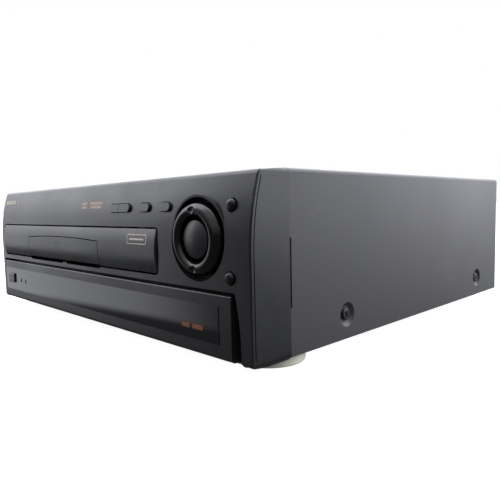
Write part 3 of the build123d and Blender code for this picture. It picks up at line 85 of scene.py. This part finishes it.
class Tree:
    """Small helper for a material's node tree."""

    def __init__(self, name):
        self.material = bpy.data.materials.new(name)
        self.material.use_nodes = True
        self.tree = self.material.node_tree
        self.shader = self.tree.nodes["Principled BSDF"]
        self.coords = self.tree.nodes.new("ShaderNodeTexCoord").outputs["Object"]

    def put(self, socket, value):
        """Links a socket or sets a plain value."""
        if isinstance(value, bpy.types.NodeSocket):
            self.tree.links.new(value, socket)
        else:
            socket.default_value = value

    def node(self, kind, **inputs):
        """Adds a node, fills its inputs by name and gives back its first output."""
        made = self.tree.nodes.new("ShaderNode" + kind)
        for key, value in inputs.items():
            self.put(made.inputs[key], value)
        return made.outputs[0]

    def noise(self, scale, detail=3.0, rough=0.55, squeeze=None):
        """Noise in object space; squeeze scales the coordinates for streaks."""
        where = self.coords
        if squeeze:
            where = self.node("Mapping", Vector=self.coords, Scale=squeeze)
        return self.node("TexNoise", Vector=where, Scale=scale, Detail=detail, Roughness=rough)

    def cells(self, scale):
        """Distance to the nearest cell centre, for pebbles, specks and dots."""
        return self.node("TexVoronoi", Vector=self.coords, Scale=scale)

    def ramp(self, value, low, high, low_to=0.0, high_to=1.0):
        """Maps low..high to low_to..high_to, clamped."""
        made = self.tree.nodes.new("ShaderNodeMapRange")
        self.put(made.inputs["Value"], value)
        made.inputs["From Min"].default_value = low
        made.inputs["From Max"].default_value = high
        made.inputs["To Min"].default_value = low_to
        made.inputs["To Max"].default_value = high_to
        return made.outputs[0]

    def math(self, kind, a, b):
        """One operation on two values or sockets."""
        made = self.tree.nodes.new("ShaderNodeMath")
        made.operation = kind
        self.put(made.inputs[0], a)
        self.put(made.inputs[1], b)
        return made.outputs[0]

    def mix(self, factor, a, b):
        """Blend from colour a to colour b, each plain or a socket."""
        made = self.tree.nodes.new("ShaderNodeMix")
        made.data_type = "RGBA"
        self.put(made.inputs["Factor"], factor)
        self.put(made.inputs["A"], a if isinstance(a, bpy.types.NodeSocket) else (*a, 1.0))
        self.put(made.inputs["B"], b if isinstance(b, bpy.types.NodeSocket) else (*b, 1.0))
        return made.outputs["Result"]

    def split(self):
        """The x, y and z of the coordinates."""
        made = self.tree.nodes.new("ShaderNodeSeparateXYZ")
        self.tree.links.new(self.coords, made.inputs[0])
        return made.outputs

    def bump(self, height, strength, distance):
        """Relief on the shader's normal; distance in metres."""
        made = self.tree.nodes.new("ShaderNodeBump")
        made.inputs["Strength"].default_value = strength
        made.inputs["Distance"].default_value = distance
        self.put(made.inputs["Height"], height)
        self.tree.links.new(made.outputs[0], self.shader.inputs["Normal"])

    def finish(self, color, rough, metal=0.0, specular=0.5):
        """Sets the shader's main inputs and gives back the material."""
        self.put(self.shader.inputs["Base Color"], color)
        self.put(self.shader.inputs["Roughness"], rough)
        self.shader.inputs["Metallic"].default_value = metal
        self.shader.inputs["Specular IOR Level"].default_value = specular
        return self.material


def tint(color, factor):
    """A lighter or darker version of a colour."""
    return tuple(min(1.0, c * factor) for c in color)


def plastic(name, color, rough, grain=0.12, grain_scale=2200.0, wear=0.5, specular=0.5):
    """Moulded plastic: fine grain, cloudy sheen, faint rubbing and specks of dust."""
    t = Tree(name)
    cloud = t.noise(14.0, 4.0)
    fine = t.noise(grain_scale, 2.0)
    base = t.mix(t.ramp(cloud, 0.35, 0.65), tint(color, 0.9), tint(color, 1.1))
    base = t.mix(t.ramp(fine, 0.3, 0.7, 0.0, 0.2), base, tint(color, 1.3))
    dust = t.ramp(t.cells(190.0), 0.07, 0.03)
    sparse = t.ramp(t.noise(40.0, 2.0), 0.58, 0.66)
    dust = t.math("MULTIPLY", t.math("MULTIPLY", dust, sparse), 0.35 * wear)
    base = t.mix(dust, base, DUST)
    rub = t.ramp(t.noise(55.0, 5.0, 0.65, squeeze=(0.35, 1.0, 1.6)), 0.42, 0.72, 0.0, 0.06 * wear)
    hazy = t.ramp(cloud, 0.3, 0.7, rough - 0.05, rough + 0.06)
    t.bump(fine, grain, 0.00012)
    return t.finish(base, t.math("ADD", hazy, rub), specular=specular)


def gloss(name, color, rough, coat=0.3, haze=0.16):
    """Glossy acrylic or enamel with faint waviness and hairlines."""
    t = Tree(name)
    cloud = t.noise(9.0, 3.0)
    base = t.mix(t.ramp(cloud, 0.35, 0.65), tint(color, 0.85), tint(color, 1.2))
    hair = t.noise(90.0, 6.0, 0.7, squeeze=(0.08, 1.0, 2.6))
    t.bump(t.noise(25.0, 1.0), 0.004, 0.0004)
    t.shader.inputs["Coat Weight"].default_value = coat
    t.shader.inputs["Coat Roughness"].default_value = 0.06
    return t.finish(base, t.ramp(hair, 0.45, 0.75, rough, rough + haze))


def paint(name, color, rough, grain=0.5, grain_scale=1500.0):
    """Powder-textured paint on steel, with faint rubs, specks and lighter smears."""
    t = Tree(name)
    pebble = t.cells(grain_scale)
    fine = t.noise(grain_scale * 0.8, 3.0)
    cloud = t.noise(5.0, 4.0)
    base = t.mix(t.ramp(cloud, 0.35, 0.65), tint(color, 0.93), tint(color, 1.06))
    base = t.mix(t.ramp(fine, 0.35, 0.7, 0.0, 0.35), base, tint(color, 1.35))
    smear = t.ramp(t.noise(24.0, 5.0, 0.6, squeeze=(1.0, 0.3, 1.4)), 0.62, 0.78, 0.0, 0.16)
    base = t.mix(smear, base, SMEAR)
    chip = t.ramp(t.cells(75.0), 0.04, 0.02)
    sparse = t.ramp(t.noise(17.0, 1.0), 0.6, 0.68)
    base = t.mix(t.math("MULTIPLY", chip, t.math("MULTIPLY", sparse, 0.6)), base, BARE_CHIP)
    t.bump(t.math("ADD", pebble, fine), grain, 0.00008)
    return t.finish(base, t.ramp(cloud, 0.3, 0.7, rough - 0.05, rough + 0.08))


def metal(name, color, rough, brush=(1.0, 1.0, 14.0), scale=260.0, blotch=0.3, metallic=1.0):
    """Bare or plated metal with brushing and dull blotches."""
    t = Tree(name)
    grain = t.noise(scale, 5.0, 0.65, squeeze=brush)
    cloud = t.noise(22.0, 4.0)
    base = t.mix(t.ramp(grain, 0.3, 0.7), tint(color, 0.82), tint(color, 1.08))
    base = t.mix(t.ramp(cloud, 0.5, 0.75, 0.0, blotch), base, tint(color, 0.55))
    t.bump(grain, 0.12, 0.00006)
    return t.finish(base, t.ramp(cloud, 0.3, 0.7, rough - 0.06, rough + 0.14), metal=metallic)


def rubber(name, color):
    """Dull rubber or felt with a fine pile."""
    t = Tree(name)
    fine = t.noise(1600.0, 4.0)
    base = t.mix(t.ramp(fine, 0.3, 0.7), tint(color, 0.8), tint(color, 1.25))
    t.bump(fine, 0.3, 0.0002)
    return t.finish(base, t.ramp(t.noise(60.0), 0.3, 0.7, 0.75, 0.92), specular=0.3)


def circuit(name):
    """Brown board with lighter tracks and solder dots."""
    t = Tree(name)
    bricks = t.tree.nodes.new("ShaderNodeTexBrick")
    t.put(bricks.inputs["Vector"], t.coords)
    bricks.inputs["Scale"].default_value = 70.0
    bricks.inputs["Mortar Size"].default_value = 0.05
    tracks = t.ramp(bricks.outputs["Fac"], 0.4, 0.6)
    lanes = t.ramp(t.noise(130.0, 1.0, 0.3, squeeze=(1.0, 0.12, 1.0)), 0.5, 0.53)
    base = t.mix(tracks, BOARD_BROWN, BOARD_TRACK)
    base = t.mix(t.math("MULTIPLY", lanes, 0.6), base, BOARD_LANE)
    solder = t.ramp(t.cells(210.0), 0.2, 0.15)
    base = t.mix(t.math("MULTIPLY", solder, t.ramp(t.noise(30.0), 0.45, 0.55)), base, SOLDER)
    t.bump(solder, 0.4, 0.0003)
    return t.finish(base, 0.38)


def glassy(name, color, rough, alpha):
    """Thin clear glass with a coating's tint and smudges."""
    t = Tree(name)
    smudge = t.noise(35.0, 4.0)
    t.shader.inputs["Transmission Weight"].default_value = 0.35
    t.shader.inputs["Alpha"].default_value = alpha
    base = t.mix(t.ramp(smudge, 0.4, 0.7), tint(color, 0.8), tint(color, 1.3))
    return t.finish(base, t.ramp(smudge, 0.4, 0.7, rough, rough + 0.1))


def jacks(name):
    """Phono jacks: one colour to each column of sockets."""
    t = Tree(name)
    x = t.split()[0]
    yellow_column = t.math("LESS_THAN", x, JACK_COLUMNS[0])
    red_column = t.math("GREATER_THAN", x, JACK_COLUMNS[1])
    fine = t.noise(900.0, 2.0)
    base = t.mix(yellow_column, JACK_WHITE, JACK_YELLOW)
    base = t.mix(red_column, base, JACK_RED)
    base = t.mix(t.ramp(fine, 0.4, 0.6, 0.0, 0.15), base, JACK_GRIME)
    t.bump(fine, 0.05, 0.0001)
    return t.finish(base, 0.3)


slots = {
    "front_plastic": plastic("front_satin", CHARCOAL, 0.27, grain=0.06),
    "panel_plastic": plastic("panel_satin", CHARCOAL, 0.26, grain=0.05),
    "door_plastic": plastic("door_satin", tint(CHARCOAL, 1.15), 0.28, grain=0.05, specular=0.56),
    "key_plastic": plastic("key_satin", tint(CHARCOAL, 1.3), 0.3, grain=0.05),
    # the dial ring's plastic is darkened to painted shade
    "dial_plastic": plastic("dial_painted_shade", tint(CHARCOAL, 0.2), 0.17, grain=0.02, specular=0.42),
    "smoked_window": gloss("smoked_acrylic", (0.004, 0.004, 0.006), 0.02, 0.25, 0.03),
    "mark_plastic": plastic("mark_dark", (0.004, 0.004, 0.004), 0.6, grain=0.03, wear=0.1, specular=0.15),
    "display_glass": glassy("display_tube_glass", (0.03, 0.06, 0.055), 0.08, 0.75),
    "board": circuit("board_brown"),
    "black_plastic": plastic("black_moulding", (0.018, 0.018, 0.02), 0.45, grain=0.2, grain_scale=1200.0),
    "capacitor_sleeve": gloss("sleeve_blue", (0.015, 0.02, 0.07), 0.28, 0.1),
    "cover_paint": paint("cover_textured", (0.05, 0.05, 0.055), 0.36, grain=0.22),
    "zinc_sheet": metal("zinc_plate", (0.56, 0.55, 0.5), 0.34, brush=(1.0, 9.0, 9.0), blotch=0.35),
    "rear_paint": paint("rear_textured", (0.05, 0.05, 0.055), 0.45),
    "foot_plastic": plastic("foot_cream", (0.98, 0.91, 0.73), 0.45, grain=0.1, wear=0.3),
    "pad_rubber": rubber("pad_felt", (0.09, 0.08, 0.07)),
    "screw_steel": metal("screw_black", (0.07, 0.07, 0.075), 0.3, scale=500.0),
    "tray_plastic": plastic("tray_black", (0.016, 0.016, 0.018), 0.42, grain=0.25, grain_scale=1300.0),
    "gear_plastic": plastic("natural_acetal", (0.62, 0.59, 0.48), 0.38, grain=0.08, wear=0.3),
    "belt_rubber": rubber("belt_black", (0.012, 0.012, 0.012)),
    "motor_steel": metal("motor_can", (0.5, 0.49, 0.46), 0.3, brush=(9.0, 9.0, 1.0)),
    "rod_steel": metal("ground_steel", (0.68, 0.68, 0.67), 0.16, brush=(6.0, 1.0, 6.0), blotch=0.15),
    "carriage_metal": metal("die_cast", (0.5, 0.5, 0.5), 0.45, brush=(1.0, 1.0, 1.0), scale=700.0),
    "lens_glass": glassy("lens_coating", (0.12, 0.16, 0.34), 0.03, 0.7),
    "jack_plastic": jacks("jack_colours"),
    "sink_aluminium": metal("sink_extruded", (0.6, 0.6, 0.6), 0.35, brush=(9.0, 9.0, 1.0), blotch=0.1),
    "core_steel": metal("core_varnished", (0.16, 0.13, 0.1), 0.4, brush=(1.0, 60.0, 1.0), metallic=0.6),
    "coil_tape": plastic("coil_tape_yellow", (0.52, 0.4, 0.08), 0.35, grain=0.3, grain_scale=500.0),
}


def dress(piece, material):
    """Gives a whole piece one material."""
    if not piece.material_slots:
        piece.data.materials.append(material)
    for used in piece.material_slots:
        used.material = material


for part in frame["record"]["subparts"]:
    dress(nodes[part["node"]], slots[part["material_slot"]])

# keys and buttons given their own copy of their slot's plastic: the small keys' copy is darker, painted
# shade; the centre button's is lighter than the dial ring's, painted light; the power button's differs
# only in gloss
# the small keys get a darker copy of the key plastic: painted shade
small_key_painted_shade = plastic("key_painted_shade", tint(CHARCOAL, 0.3), 0.17, grain=0.02, specular=0.4)
dress(nodes["small_key_upper"], small_key_painted_shade)
dress(nodes["small_key_lower"], small_key_painted_shade)
# the centre button gets a lighter copy of the dial ring's plastic: painted light
button_painted_light = plastic("button_painted_light", tint(CHARCOAL, 1.1), 0.36, grain=0.05, specular=0.6)
dress(nodes["centre_button"], button_painted_light)
power_satin = plastic("power_satin", tint(CHARCOAL, 1.3), 0.22, grain=0.04, specular=0.6)
dress(nodes["power_button"], power_satin)


# ---------------------------------------------------------------- printed and applied details
def circle_through(p, q, r):
    """Centre and radius of the circle through three (depth, height) points."""
    ax, ay, bx, by, cx, cy = *p, *q, *r
    d = 2 * (ax * (by - cy) + bx * (cy - ay) + cx * (ay - by))
    ux = ((ax**2 + ay**2) * (by - cy) + (bx**2 + by**2) * (cy - ay) + (cx**2 + cy**2) * (ay - by)) / d
    uy = ((ax**2 + ay**2) * (cx - bx) + (bx**2 + by**2) * (ax - cx) + (cx**2 + cy**2) * (bx - ax)) / d
    return ux, uy, math.hypot(ax - ux, ay - uy)


# The doors' front is an arc: a little in at its lower edge, proud at the middle, flush at the top.
DOOR_LOW = (0.2, 51.3)
DOOR_MIDDLE = (-1.9, 67.45)
DOOR_TOP_H = 83.6
DOOR_CENTRE_DEPTH, DOOR_CENTRE_H, DOOR_RADIUS = circle_through(
    DOOR_LOW, DOOR_MIDDLE, (skin_depth(DOOR_TOP_H), DOOR_TOP_H)
)


def door_depth(height):
    """Depth of the crowned doors' front at a height."""
    return DOOR_CENTRE_DEPTH - math.sqrt(DOOR_RADIUS ** 2 - (height - DOOR_CENTRE_H) ** 2)


def rounded_outline(width, height, corner, steps=5):
    """Points of a rounded rectangle about the origin."""
    points = []
    for sx, sy, start in ((1, 1, 0), (-1, 1, 90), (-1, -1, 180), (1, -1, 270)):
        centre_u = sx * (width / 2 - corner)
        centre_v = sy * (height / 2 - corner)
        for k in range(steps + 1):
            angle = math.radians(start + 90.0 * k / steps)
            points.append((centre_u + corner * math.cos(angle), centre_v + corner * math.sin(angle)))
    return points


def ring_outline(radius, steps=40):
    """Points of a circle about the origin."""
    angles = [2 * math.pi * k / steps for k in range(steps)]
    return [(radius * math.cos(angle), radius * math.sin(angle)) for angle in angles]


def applied(name, body, material, outline, hole, place, proud):
    """Thin printed or applied piece. place turns its (u, v, lift) into a point of the shared frame."""
    verts, faces = [], []
    for loop in (outline, hole or []):
        for lift in (0.0, proud):
            verts.extend(place(u, v, lift) for u, v in loop)
    count = len(outline)
    steps = [(k, (k + 1) % count) for k in range(count)]
    back, front = 0, count
    if hole:
        hole_back, hole_front = 2 * count, 3 * count
        for k, n in steps:
            faces.append((front + k, front + n, hole_front + n, hole_front + k))
            faces.append((back + k, back + n, front + n, front + k))
            faces.append((hole_back + n, hole_back + k, hole_front + k, hole_front + n))
            faces.append((back + n, back + k, hole_back + k, hole_back + n))
    else:
        middle = len(verts)
        middle_u = sum(u for u, _ in outline) / count
        middle_v = sum(v for _, v in outline) / count
        verts.append(place(middle_u, middle_v, proud))
        for k, n in steps:
            faces.append((front + k, front + n, middle))
            faces.append((back + k, back + n, front + n, front + k))
        faces.append(tuple(reversed(range(count))))
    mesh = bpy.data.meshes.new(name)
    mesh.from_pydata([tuple(v) for v in verts], [], faces)
    mesh.validate()
    made = bpy.data.objects.new(name, mesh)
    bpy.context.scene.collection.objects.link(made)
    mesh.materials.append(material)
    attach(made, body)


# How far the back of an applied piece lies inside the surface that carries it. Each piece's own
# thickness, its proud, counts from that back.
SUNK = 0.06


def on_face(x, height, depth_of):
    """Placing rule for a piece on the front: u runs to the right, v up."""
    return lambda u, v, lift: at(x + u, depth_of(height + v) + SUNK - lift, height + v)


def on_rear(x, height):
    """Placing rule for a piece on the rear panel, with u along x and v up."""
    return lambda u, v, lift: at(x + u, REAR_DEPTH - SUNK + lift, height + v)


gold_print = plastic("print_gold", (0.52, 0.37, 0.27), 0.45, grain=0.03, wear=0.3)
pale_print = plastic("print_pale", (0.55, 0.47, 0.36), 0.45, grain=0.03, wear=0.3)
badge_print = plastic("print_badge", (0.7, 0.6, 0.52), 0.4, grain=0.03, wear=0.3)
orange_print = plastic("print_orange", (0.23, 0.085, 0.03), 0.4, grain=0.02, wear=0.2)
grey_print = plastic("print_grey", (0.11, 0.11, 0.12), 0.42, grain=0.02, wear=0.2)
white_print = plastic("print_white", (0.55, 0.55, 0.55), 0.5, grain=0.05, wear=0.5)

# plain bars where the photo has lettering, marks and badges
PLAQUE_X = -188.5
PLAQUE_H = 109.2
PLAQUE_SIZE = (30, 4.4)
PLAQUE_DOT_X = -167.0
PLAQUE_DOT_OUTER = 2.8
PLAQUE_DOT_INNER = 1.3
PLAQUE_PROUD = 0.2
applied("plaque_upper_left", "cabinet", pale_print, rounded_outline(*PLAQUE_SIZE, 0.9), None,
        on_face(PLAQUE_X, PLAQUE_H, skin_depth), PLAQUE_PROUD)
applied("plaque_dot", "cabinet", pale_print,
        ring_outline(PLAQUE_DOT_OUTER), ring_outline(PLAQUE_DOT_INNER),
        on_face(PLAQUE_DOT_X, PLAQUE_H, skin_depth), PLAQUE_PROUD)

LEGEND_ROWS = (104.2, 101.0)
LEGEND_SHORT_X = -3.5
LEGEND_SHORT_W = 9
LEGEND_LONG_X = 17.5
LEGEND_LONG_W = (22, 19)
LEGEND_BAR_H = 2.1
LEGEND_PROUD = 0.12
for row, row_h in enumerate(LEGEND_ROWS):
    applied("legend_short_%d" % row, "cabinet", gold_print,
            rounded_outline(LEGEND_SHORT_W, LEGEND_BAR_H, 0.4), None,
            on_face(LEGEND_SHORT_X, row_h, skin_depth), LEGEND_PROUD)
    applied("legend_long_%d" % row, "cabinet", gold_print,
            rounded_outline(LEGEND_LONG_W[row], LEGEND_BAR_H, 0.4), None,
            on_face(LEGEND_LONG_X, row_h, skin_depth), LEGEND_PROUD)

BADGE_X = 87.8
BADGE_H = 75.6
BADGE_SIZE = (27, 7.6)
BADGE_HOLE = (25.6, 6.2)
BADGE_BAR = (20, 1.3)
BADGE_PROUD = 0.2
BADGE_BAR_PROUD = 0.15
applied("door_badge_frame", "ld_tray", badge_print,
        rounded_outline(*BADGE_SIZE, 1.4), rounded_outline(*BADGE_HOLE, 0.8),
        on_face(BADGE_X, BADGE_H, door_depth), BADGE_PROUD)
applied("door_badge_bar", "ld_tray", badge_print, rounded_outline(*BADGE_BAR, 0.5), None,
        on_face(BADGE_X, BADGE_H, door_depth), BADGE_BAR_PROUD)

CD_RING_X = -53.0
CD_RING_H = 66.5
CD_RING_OUTER = 3.6
CD_RING_INNER = 2.9
CD_RING_PROUD = 0.12
applied("cd_door_ring", "cd_tray", grey_print,
        ring_outline(CD_RING_OUTER), ring_outline(CD_RING_INNER),
        on_face(CD_RING_X, CD_RING_H, door_depth), CD_RING_PROUD)

# two bars near the window's lower right corner, as centre x and width
WINDOW_BARS = ((144.6, 8.5), (157.6, 11.5))
WINDOW_BARS_H = 18.6
WINDOW_BARS_TALL = 3.2
WINDOW_BARS_PROUD = 0.1
for index, (bar_x, bar_w) in enumerate(WINDOW_BARS, 1):
    applied("window_bar_%d" % index, "cabinet", orange_print,
            rounded_outline(bar_w, WINDOW_BARS_TALL, 0.4), None,
            on_face(bar_x, WINDOW_BARS_H, flat_depth), WINDOW_BARS_PROUD)

# rear panel: frames round the socket groups, short bars above them, a blank plate
REAR_PROUD = 0.12
FRAME_LINE = 0.8
SOCKET_FRAMES = ((-184.0, -128.0), (-120.5, -82.0), (-77.0, -63.0))
SOCKET_FRAME_H = 33.0
SOCKET_FRAME_TALL = 38.0
INLET_FRAME = (150.0, 180.0)
INLET_FRAME_H = 26.0
INLET_FRAME_TALL = 30.0
SOCKET_BARS_X = (-176, -156, -136, -112, -90, -70)
SOCKET_BARS_H = 55
INLET_BAR = (165, 45)
REAR_BAR_SIZE = (9, 1.3)
PLATE_X = -62.0
PLATE_H = 88.0
PLATE_SIZE = (62, 24)
PLATE_PROUD = 0.25


def rear_frame(name, span, height, tall):
    """Thin printed frame over a span of x on the rear panel."""
    low, high = span
    wide = high - low
    applied(name, "cabinet", white_print, rounded_outline(wide, tall, 2),
            rounded_outline(wide - FRAME_LINE, tall - FRAME_LINE, 1.6),
            on_rear((low + high) / 2, height), REAR_PROUD)


for index, span in enumerate(SOCKET_FRAMES):
    rear_frame("rear_frame_%d" % index, span, SOCKET_FRAME_H, SOCKET_FRAME_TALL)
rear_frame("rear_frame_%d" % len(SOCKET_FRAMES), INLET_FRAME, INLET_FRAME_H, INLET_FRAME_TALL)
rear_bars = [(x, SOCKET_BARS_H) for x in SOCKET_BARS_X] + [INLET_BAR]
for index, (bar_x, bar_h) in enumerate(rear_bars):
    applied("rear_bar_%d" % index, "cabinet", white_print,
            rounded_outline(*REAR_BAR_SIZE, 0.3), None, on_rear(bar_x, bar_h), REAR_PROUD)
plate_metal = metal("plate_blank", (0.5, 0.5, 0.5), 0.32, brush=(1.0, 1.0, 30.0), blotch=0.1)
applied("rear_plate", "cabinet", plate_metal, rounded_outline(*PLATE_SIZE, 1.5), None,
        on_rear(PLATE_X, PLATE_H), PLATE_PROUD)


# ---------------------------------------------------------------- stage
FLOOR_HALF = 30.0
FLOOR_GLOW = 0.95
corners = [(-1, -1), (1, -1), (1, 1), (-1, 1)]
floor_tree = Tree("floor_pale")
floor_tree.shader.inputs["Emission Color"].default_value = (1.0, 1.0, 1.0, 1.0)
floor_tree.shader.inputs["Emission Strength"].default_value = FLOOR_GLOW
floor_patches = floor_tree.ramp(floor_tree.noise(3.0), 0.3, 0.7)
floor_pale = floor_tree.finish(floor_tree.mix(floor_patches, (0.5, 0.5, 0.5), (0.56, 0.56, 0.56)), 0.8)
floor_mesh = bpy.data.meshes.new("floor")
floor_mesh.from_pydata([(FLOOR_HALF * x, FLOOR_HALF * y, 0.0) for x, y in corners], [], [(0, 1, 2, 3)])
floor_mesh.materials.append(floor_pale)
floor = bpy.data.objects.new("floor", floor_mesh)
bpy.context.scene.collection.objects.link(floor)
floor.visible_diffuse = False
floor.visible_glossy = False

# ---------------------------------------------------------------- light
# The studio has a bright wall with a softbox on the left, a bright wall behind, a soft ceiling and a
# dim front. Azimuths are in degrees from the front, positive towards +X. The heights are the z of a
# direction's unit vector.
AMBIENT = 0.12
LIGHT_COLOR = (0.925, 0.94, 1.0, 1.0)
BACKDROP_COLOR = (1.0, 1.0, 1.0, 1.0)
LEFT_END = (-170, -140)
LEFT_WALL_RISE = (-46, -60)
LEFT_BOX_RISE = (-52, -61)
LEFT_BOX_FADE = (-62, -78)
LEFT_BOX_FADED = 0.7
LEFT_BOX_HEIGHTS = (0.03, 0.30)
LEFT_BOX_LIGHT = 2.5
WALL_EDGE_AZIMUTH = -69
WALL_EDGE_SLOPE = 0.258
WALL_EDGE = (-0.162, -0.146)
REAR_FROM_RIGHT = (95, 135)
REAR_FROM_LEFT = (-130, -160)
REAR_LOW_HEIGHTS = (-0.3, -0.08)
REAR_LOW_LIGHT = 0.7
REAR_HIGH_HEIGHTS = (-0.12, 0.06)
REAR_HIGH_LIGHT = 2.1
CEILING_HEIGHTS = (0.1, 0.8)
CEILING_LIGHT = 0.9


class Sky(Tree):
    """The same helper on the world's tree, with azimuth and height of the direction looked at."""

    def __init__(self, tree):
        self.tree = tree
        self.coords = tree.nodes.new("ShaderNodeTexCoord").outputs["Generated"]
        across, along, self.height = self.split()
        self.azimuth = self.math("ARCTAN2", across, self.math("MULTIPLY", along, -1.0))

    def smooth(self, value, low, high, low_to=0.0, high_to=1.0):
        """Like ramp, with soft ends."""
        out = self.ramp(value, low, high, low_to, high_to)
        out.node.interpolation_type = "SMOOTHSTEP"
        return out

    def over_azimuth(self, span, low_to=0.0, high_to=1.0):
        """Soft step over a span of azimuths in degrees."""
        return self.smooth(self.azimuth, math.radians(span[0]), math.radians(span[1]), low_to, high_to)

    def over_height(self, span, light):
        """Soft step from dark up to a light over a span of heights."""
        return self.smooth(self.height, span[0], span[1], 0.0, light)

    def left_side(self):
        """Wall above a slanting edge, and the softbox in front of it."""
        end = self.over_azimuth(LEFT_END)
        wall = self.math("MULTIPLY", self.over_azimuth(LEFT_WALL_RISE), end)
        fade = self.math("SUBTRACT", 1.0, self.over_azimuth(LEFT_BOX_FADE, 0.0, LEFT_BOX_FADED))
        box = self.math("MULTIPLY", self.over_azimuth(LEFT_BOX_RISE), fade)
        box = self.math("MULTIPLY", box, end)
        turned = self.math("ADD", self.azimuth, math.radians(-WALL_EDGE_AZIMUTH))
        edge = self.math("ADD", self.height, self.math("MULTIPLY", turned, WALL_EDGE_SLOPE))
        above_edge = self.smooth(edge, *WALL_EDGE)
        wall_light = self.math("MULTIPLY", wall, above_edge)
        box_light = self.math("MULTIPLY", box, self.over_height(LEFT_BOX_HEIGHTS, LEFT_BOX_LIGHT))
        return self.math("ADD", wall_light, box_light)

    def rear_side(self):
        """Wall behind, dim at the floor and bright above."""
        wall = self.math("MAXIMUM", self.over_azimuth(REAR_FROM_RIGHT), self.over_azimuth(REAR_FROM_LEFT))
        low = self.over_height(REAR_LOW_HEIGHTS, REAR_LOW_LIGHT)
        high = self.over_height(REAR_HIGH_HEIGHTS, REAR_HIGH_LIGHT)
        return self.math("MULTIPLY", wall, self.math("ADD", low, high))

    def studio(self):
        """Strength of all the light from a direction."""
        sides = self.math("ADD", self.left_side(), self.rear_side())
        ceiling = self.over_height(CEILING_HEIGHTS, CEILING_LIGHT)
        return self.math("ADD", sides, self.math("ADD", ceiling, AMBIENT))


world = bpy.data.worlds.new("studio")
bpy.context.scene.world = world
world.use_nodes = True
sky = Sky(world.node_tree)
lit = world.node_tree.nodes["Background"]
lit.inputs["Color"].default_value = LIGHT_COLOR
sky.put(lit.inputs["Strength"], sky.studio())

# the camera itself sees a plain white backdrop
plain = world.node_tree.nodes.new("ShaderNodeBackground")
plain.inputs["Color"].default_value = BACKDROP_COLOR
plain.inputs["Strength"].default_value = 1.0
ray = world.node_tree.nodes.new("ShaderNodeLightPath")
chosen = world.node_tree.nodes.new("ShaderNodeMixShader")
sky.put(chosen.inputs[0], ray.outputs["Is Camera Ray"])
sky.put(chosen.inputs[1], lit.outputs[0])
sky.put(chosen.inputs[2], plain.outputs[0])
sky.put(world.node_tree.nodes["World Output"].inputs["Surface"], chosen.outputs[0])

OVERHEAD_PLACE = (0.0, 0.1, 2.2)
OVERHEAD_SIDE = 2.4
OVERHEAD_POWER = 10.0
overhead_light = bpy.data.lights.new("overhead", "AREA")
overhead_light.shape = "RECTANGLE"
overhead_light.size = OVERHEAD_SIDE
overhead_light.size_y = OVERHEAD_SIDE
overhead_light.energy = OVERHEAD_POWER
overhead = bpy.data.objects.new("overhead", overhead_light)
bpy.context.scene.collection.objects.link(overhead)
overhead.location = OVERHEAD_PLACE
overhead.rotation_euler = (-Vector(OVERHEAD_PLACE)).to_track_quat("-Z", "Y").to_euler()

# ---------------------------------------------------------------- camera
CAMERA_PLACE = (0.41928, -0.40061, 0.10705)
CAMERA_YAW = math.radians(45.671)
CAMERA_PITCH = math.radians(-4.917)
CAMERA_ROLL = math.radians(-1.333)
LENS = 36.0
SENSOR_WIDTH = 36.0
CLIP_START = 0.01

level = math.cos(CAMERA_PITCH)
forward = Vector((-math.sin(CAMERA_YAW) * level, math.cos(CAMERA_YAW) * level, math.sin(CAMERA_PITCH)))
right = forward.cross(Vector((0, 0, 1))).normalized()
upward = right.cross(forward)
side_axis = math.cos(CAMERA_ROLL) * right + math.sin(CAMERA_ROLL) * upward
up_axis = -math.sin(CAMERA_ROLL) * right + math.cos(CAMERA_ROLL) * upward
camera_data = bpy.data.cameras.new("camera")
camera_data.lens = LENS
camera_data.sensor_width = SENSOR_WIDTH
camera_data.clip_start = CLIP_START
camera = bpy.data.objects.new("camera", camera_data)
bpy.context.scene.collection.objects.link(camera)
turn = Matrix((side_axis, up_axis, -forward)).transposed().to_4x4()
camera.matrix_world = Matrix.Translation(Vector(CAMERA_PLACE)) @ turn
bpy.context.scene.camera = camera
bpy.context.scene.view_settings.view_transform = "Standard"
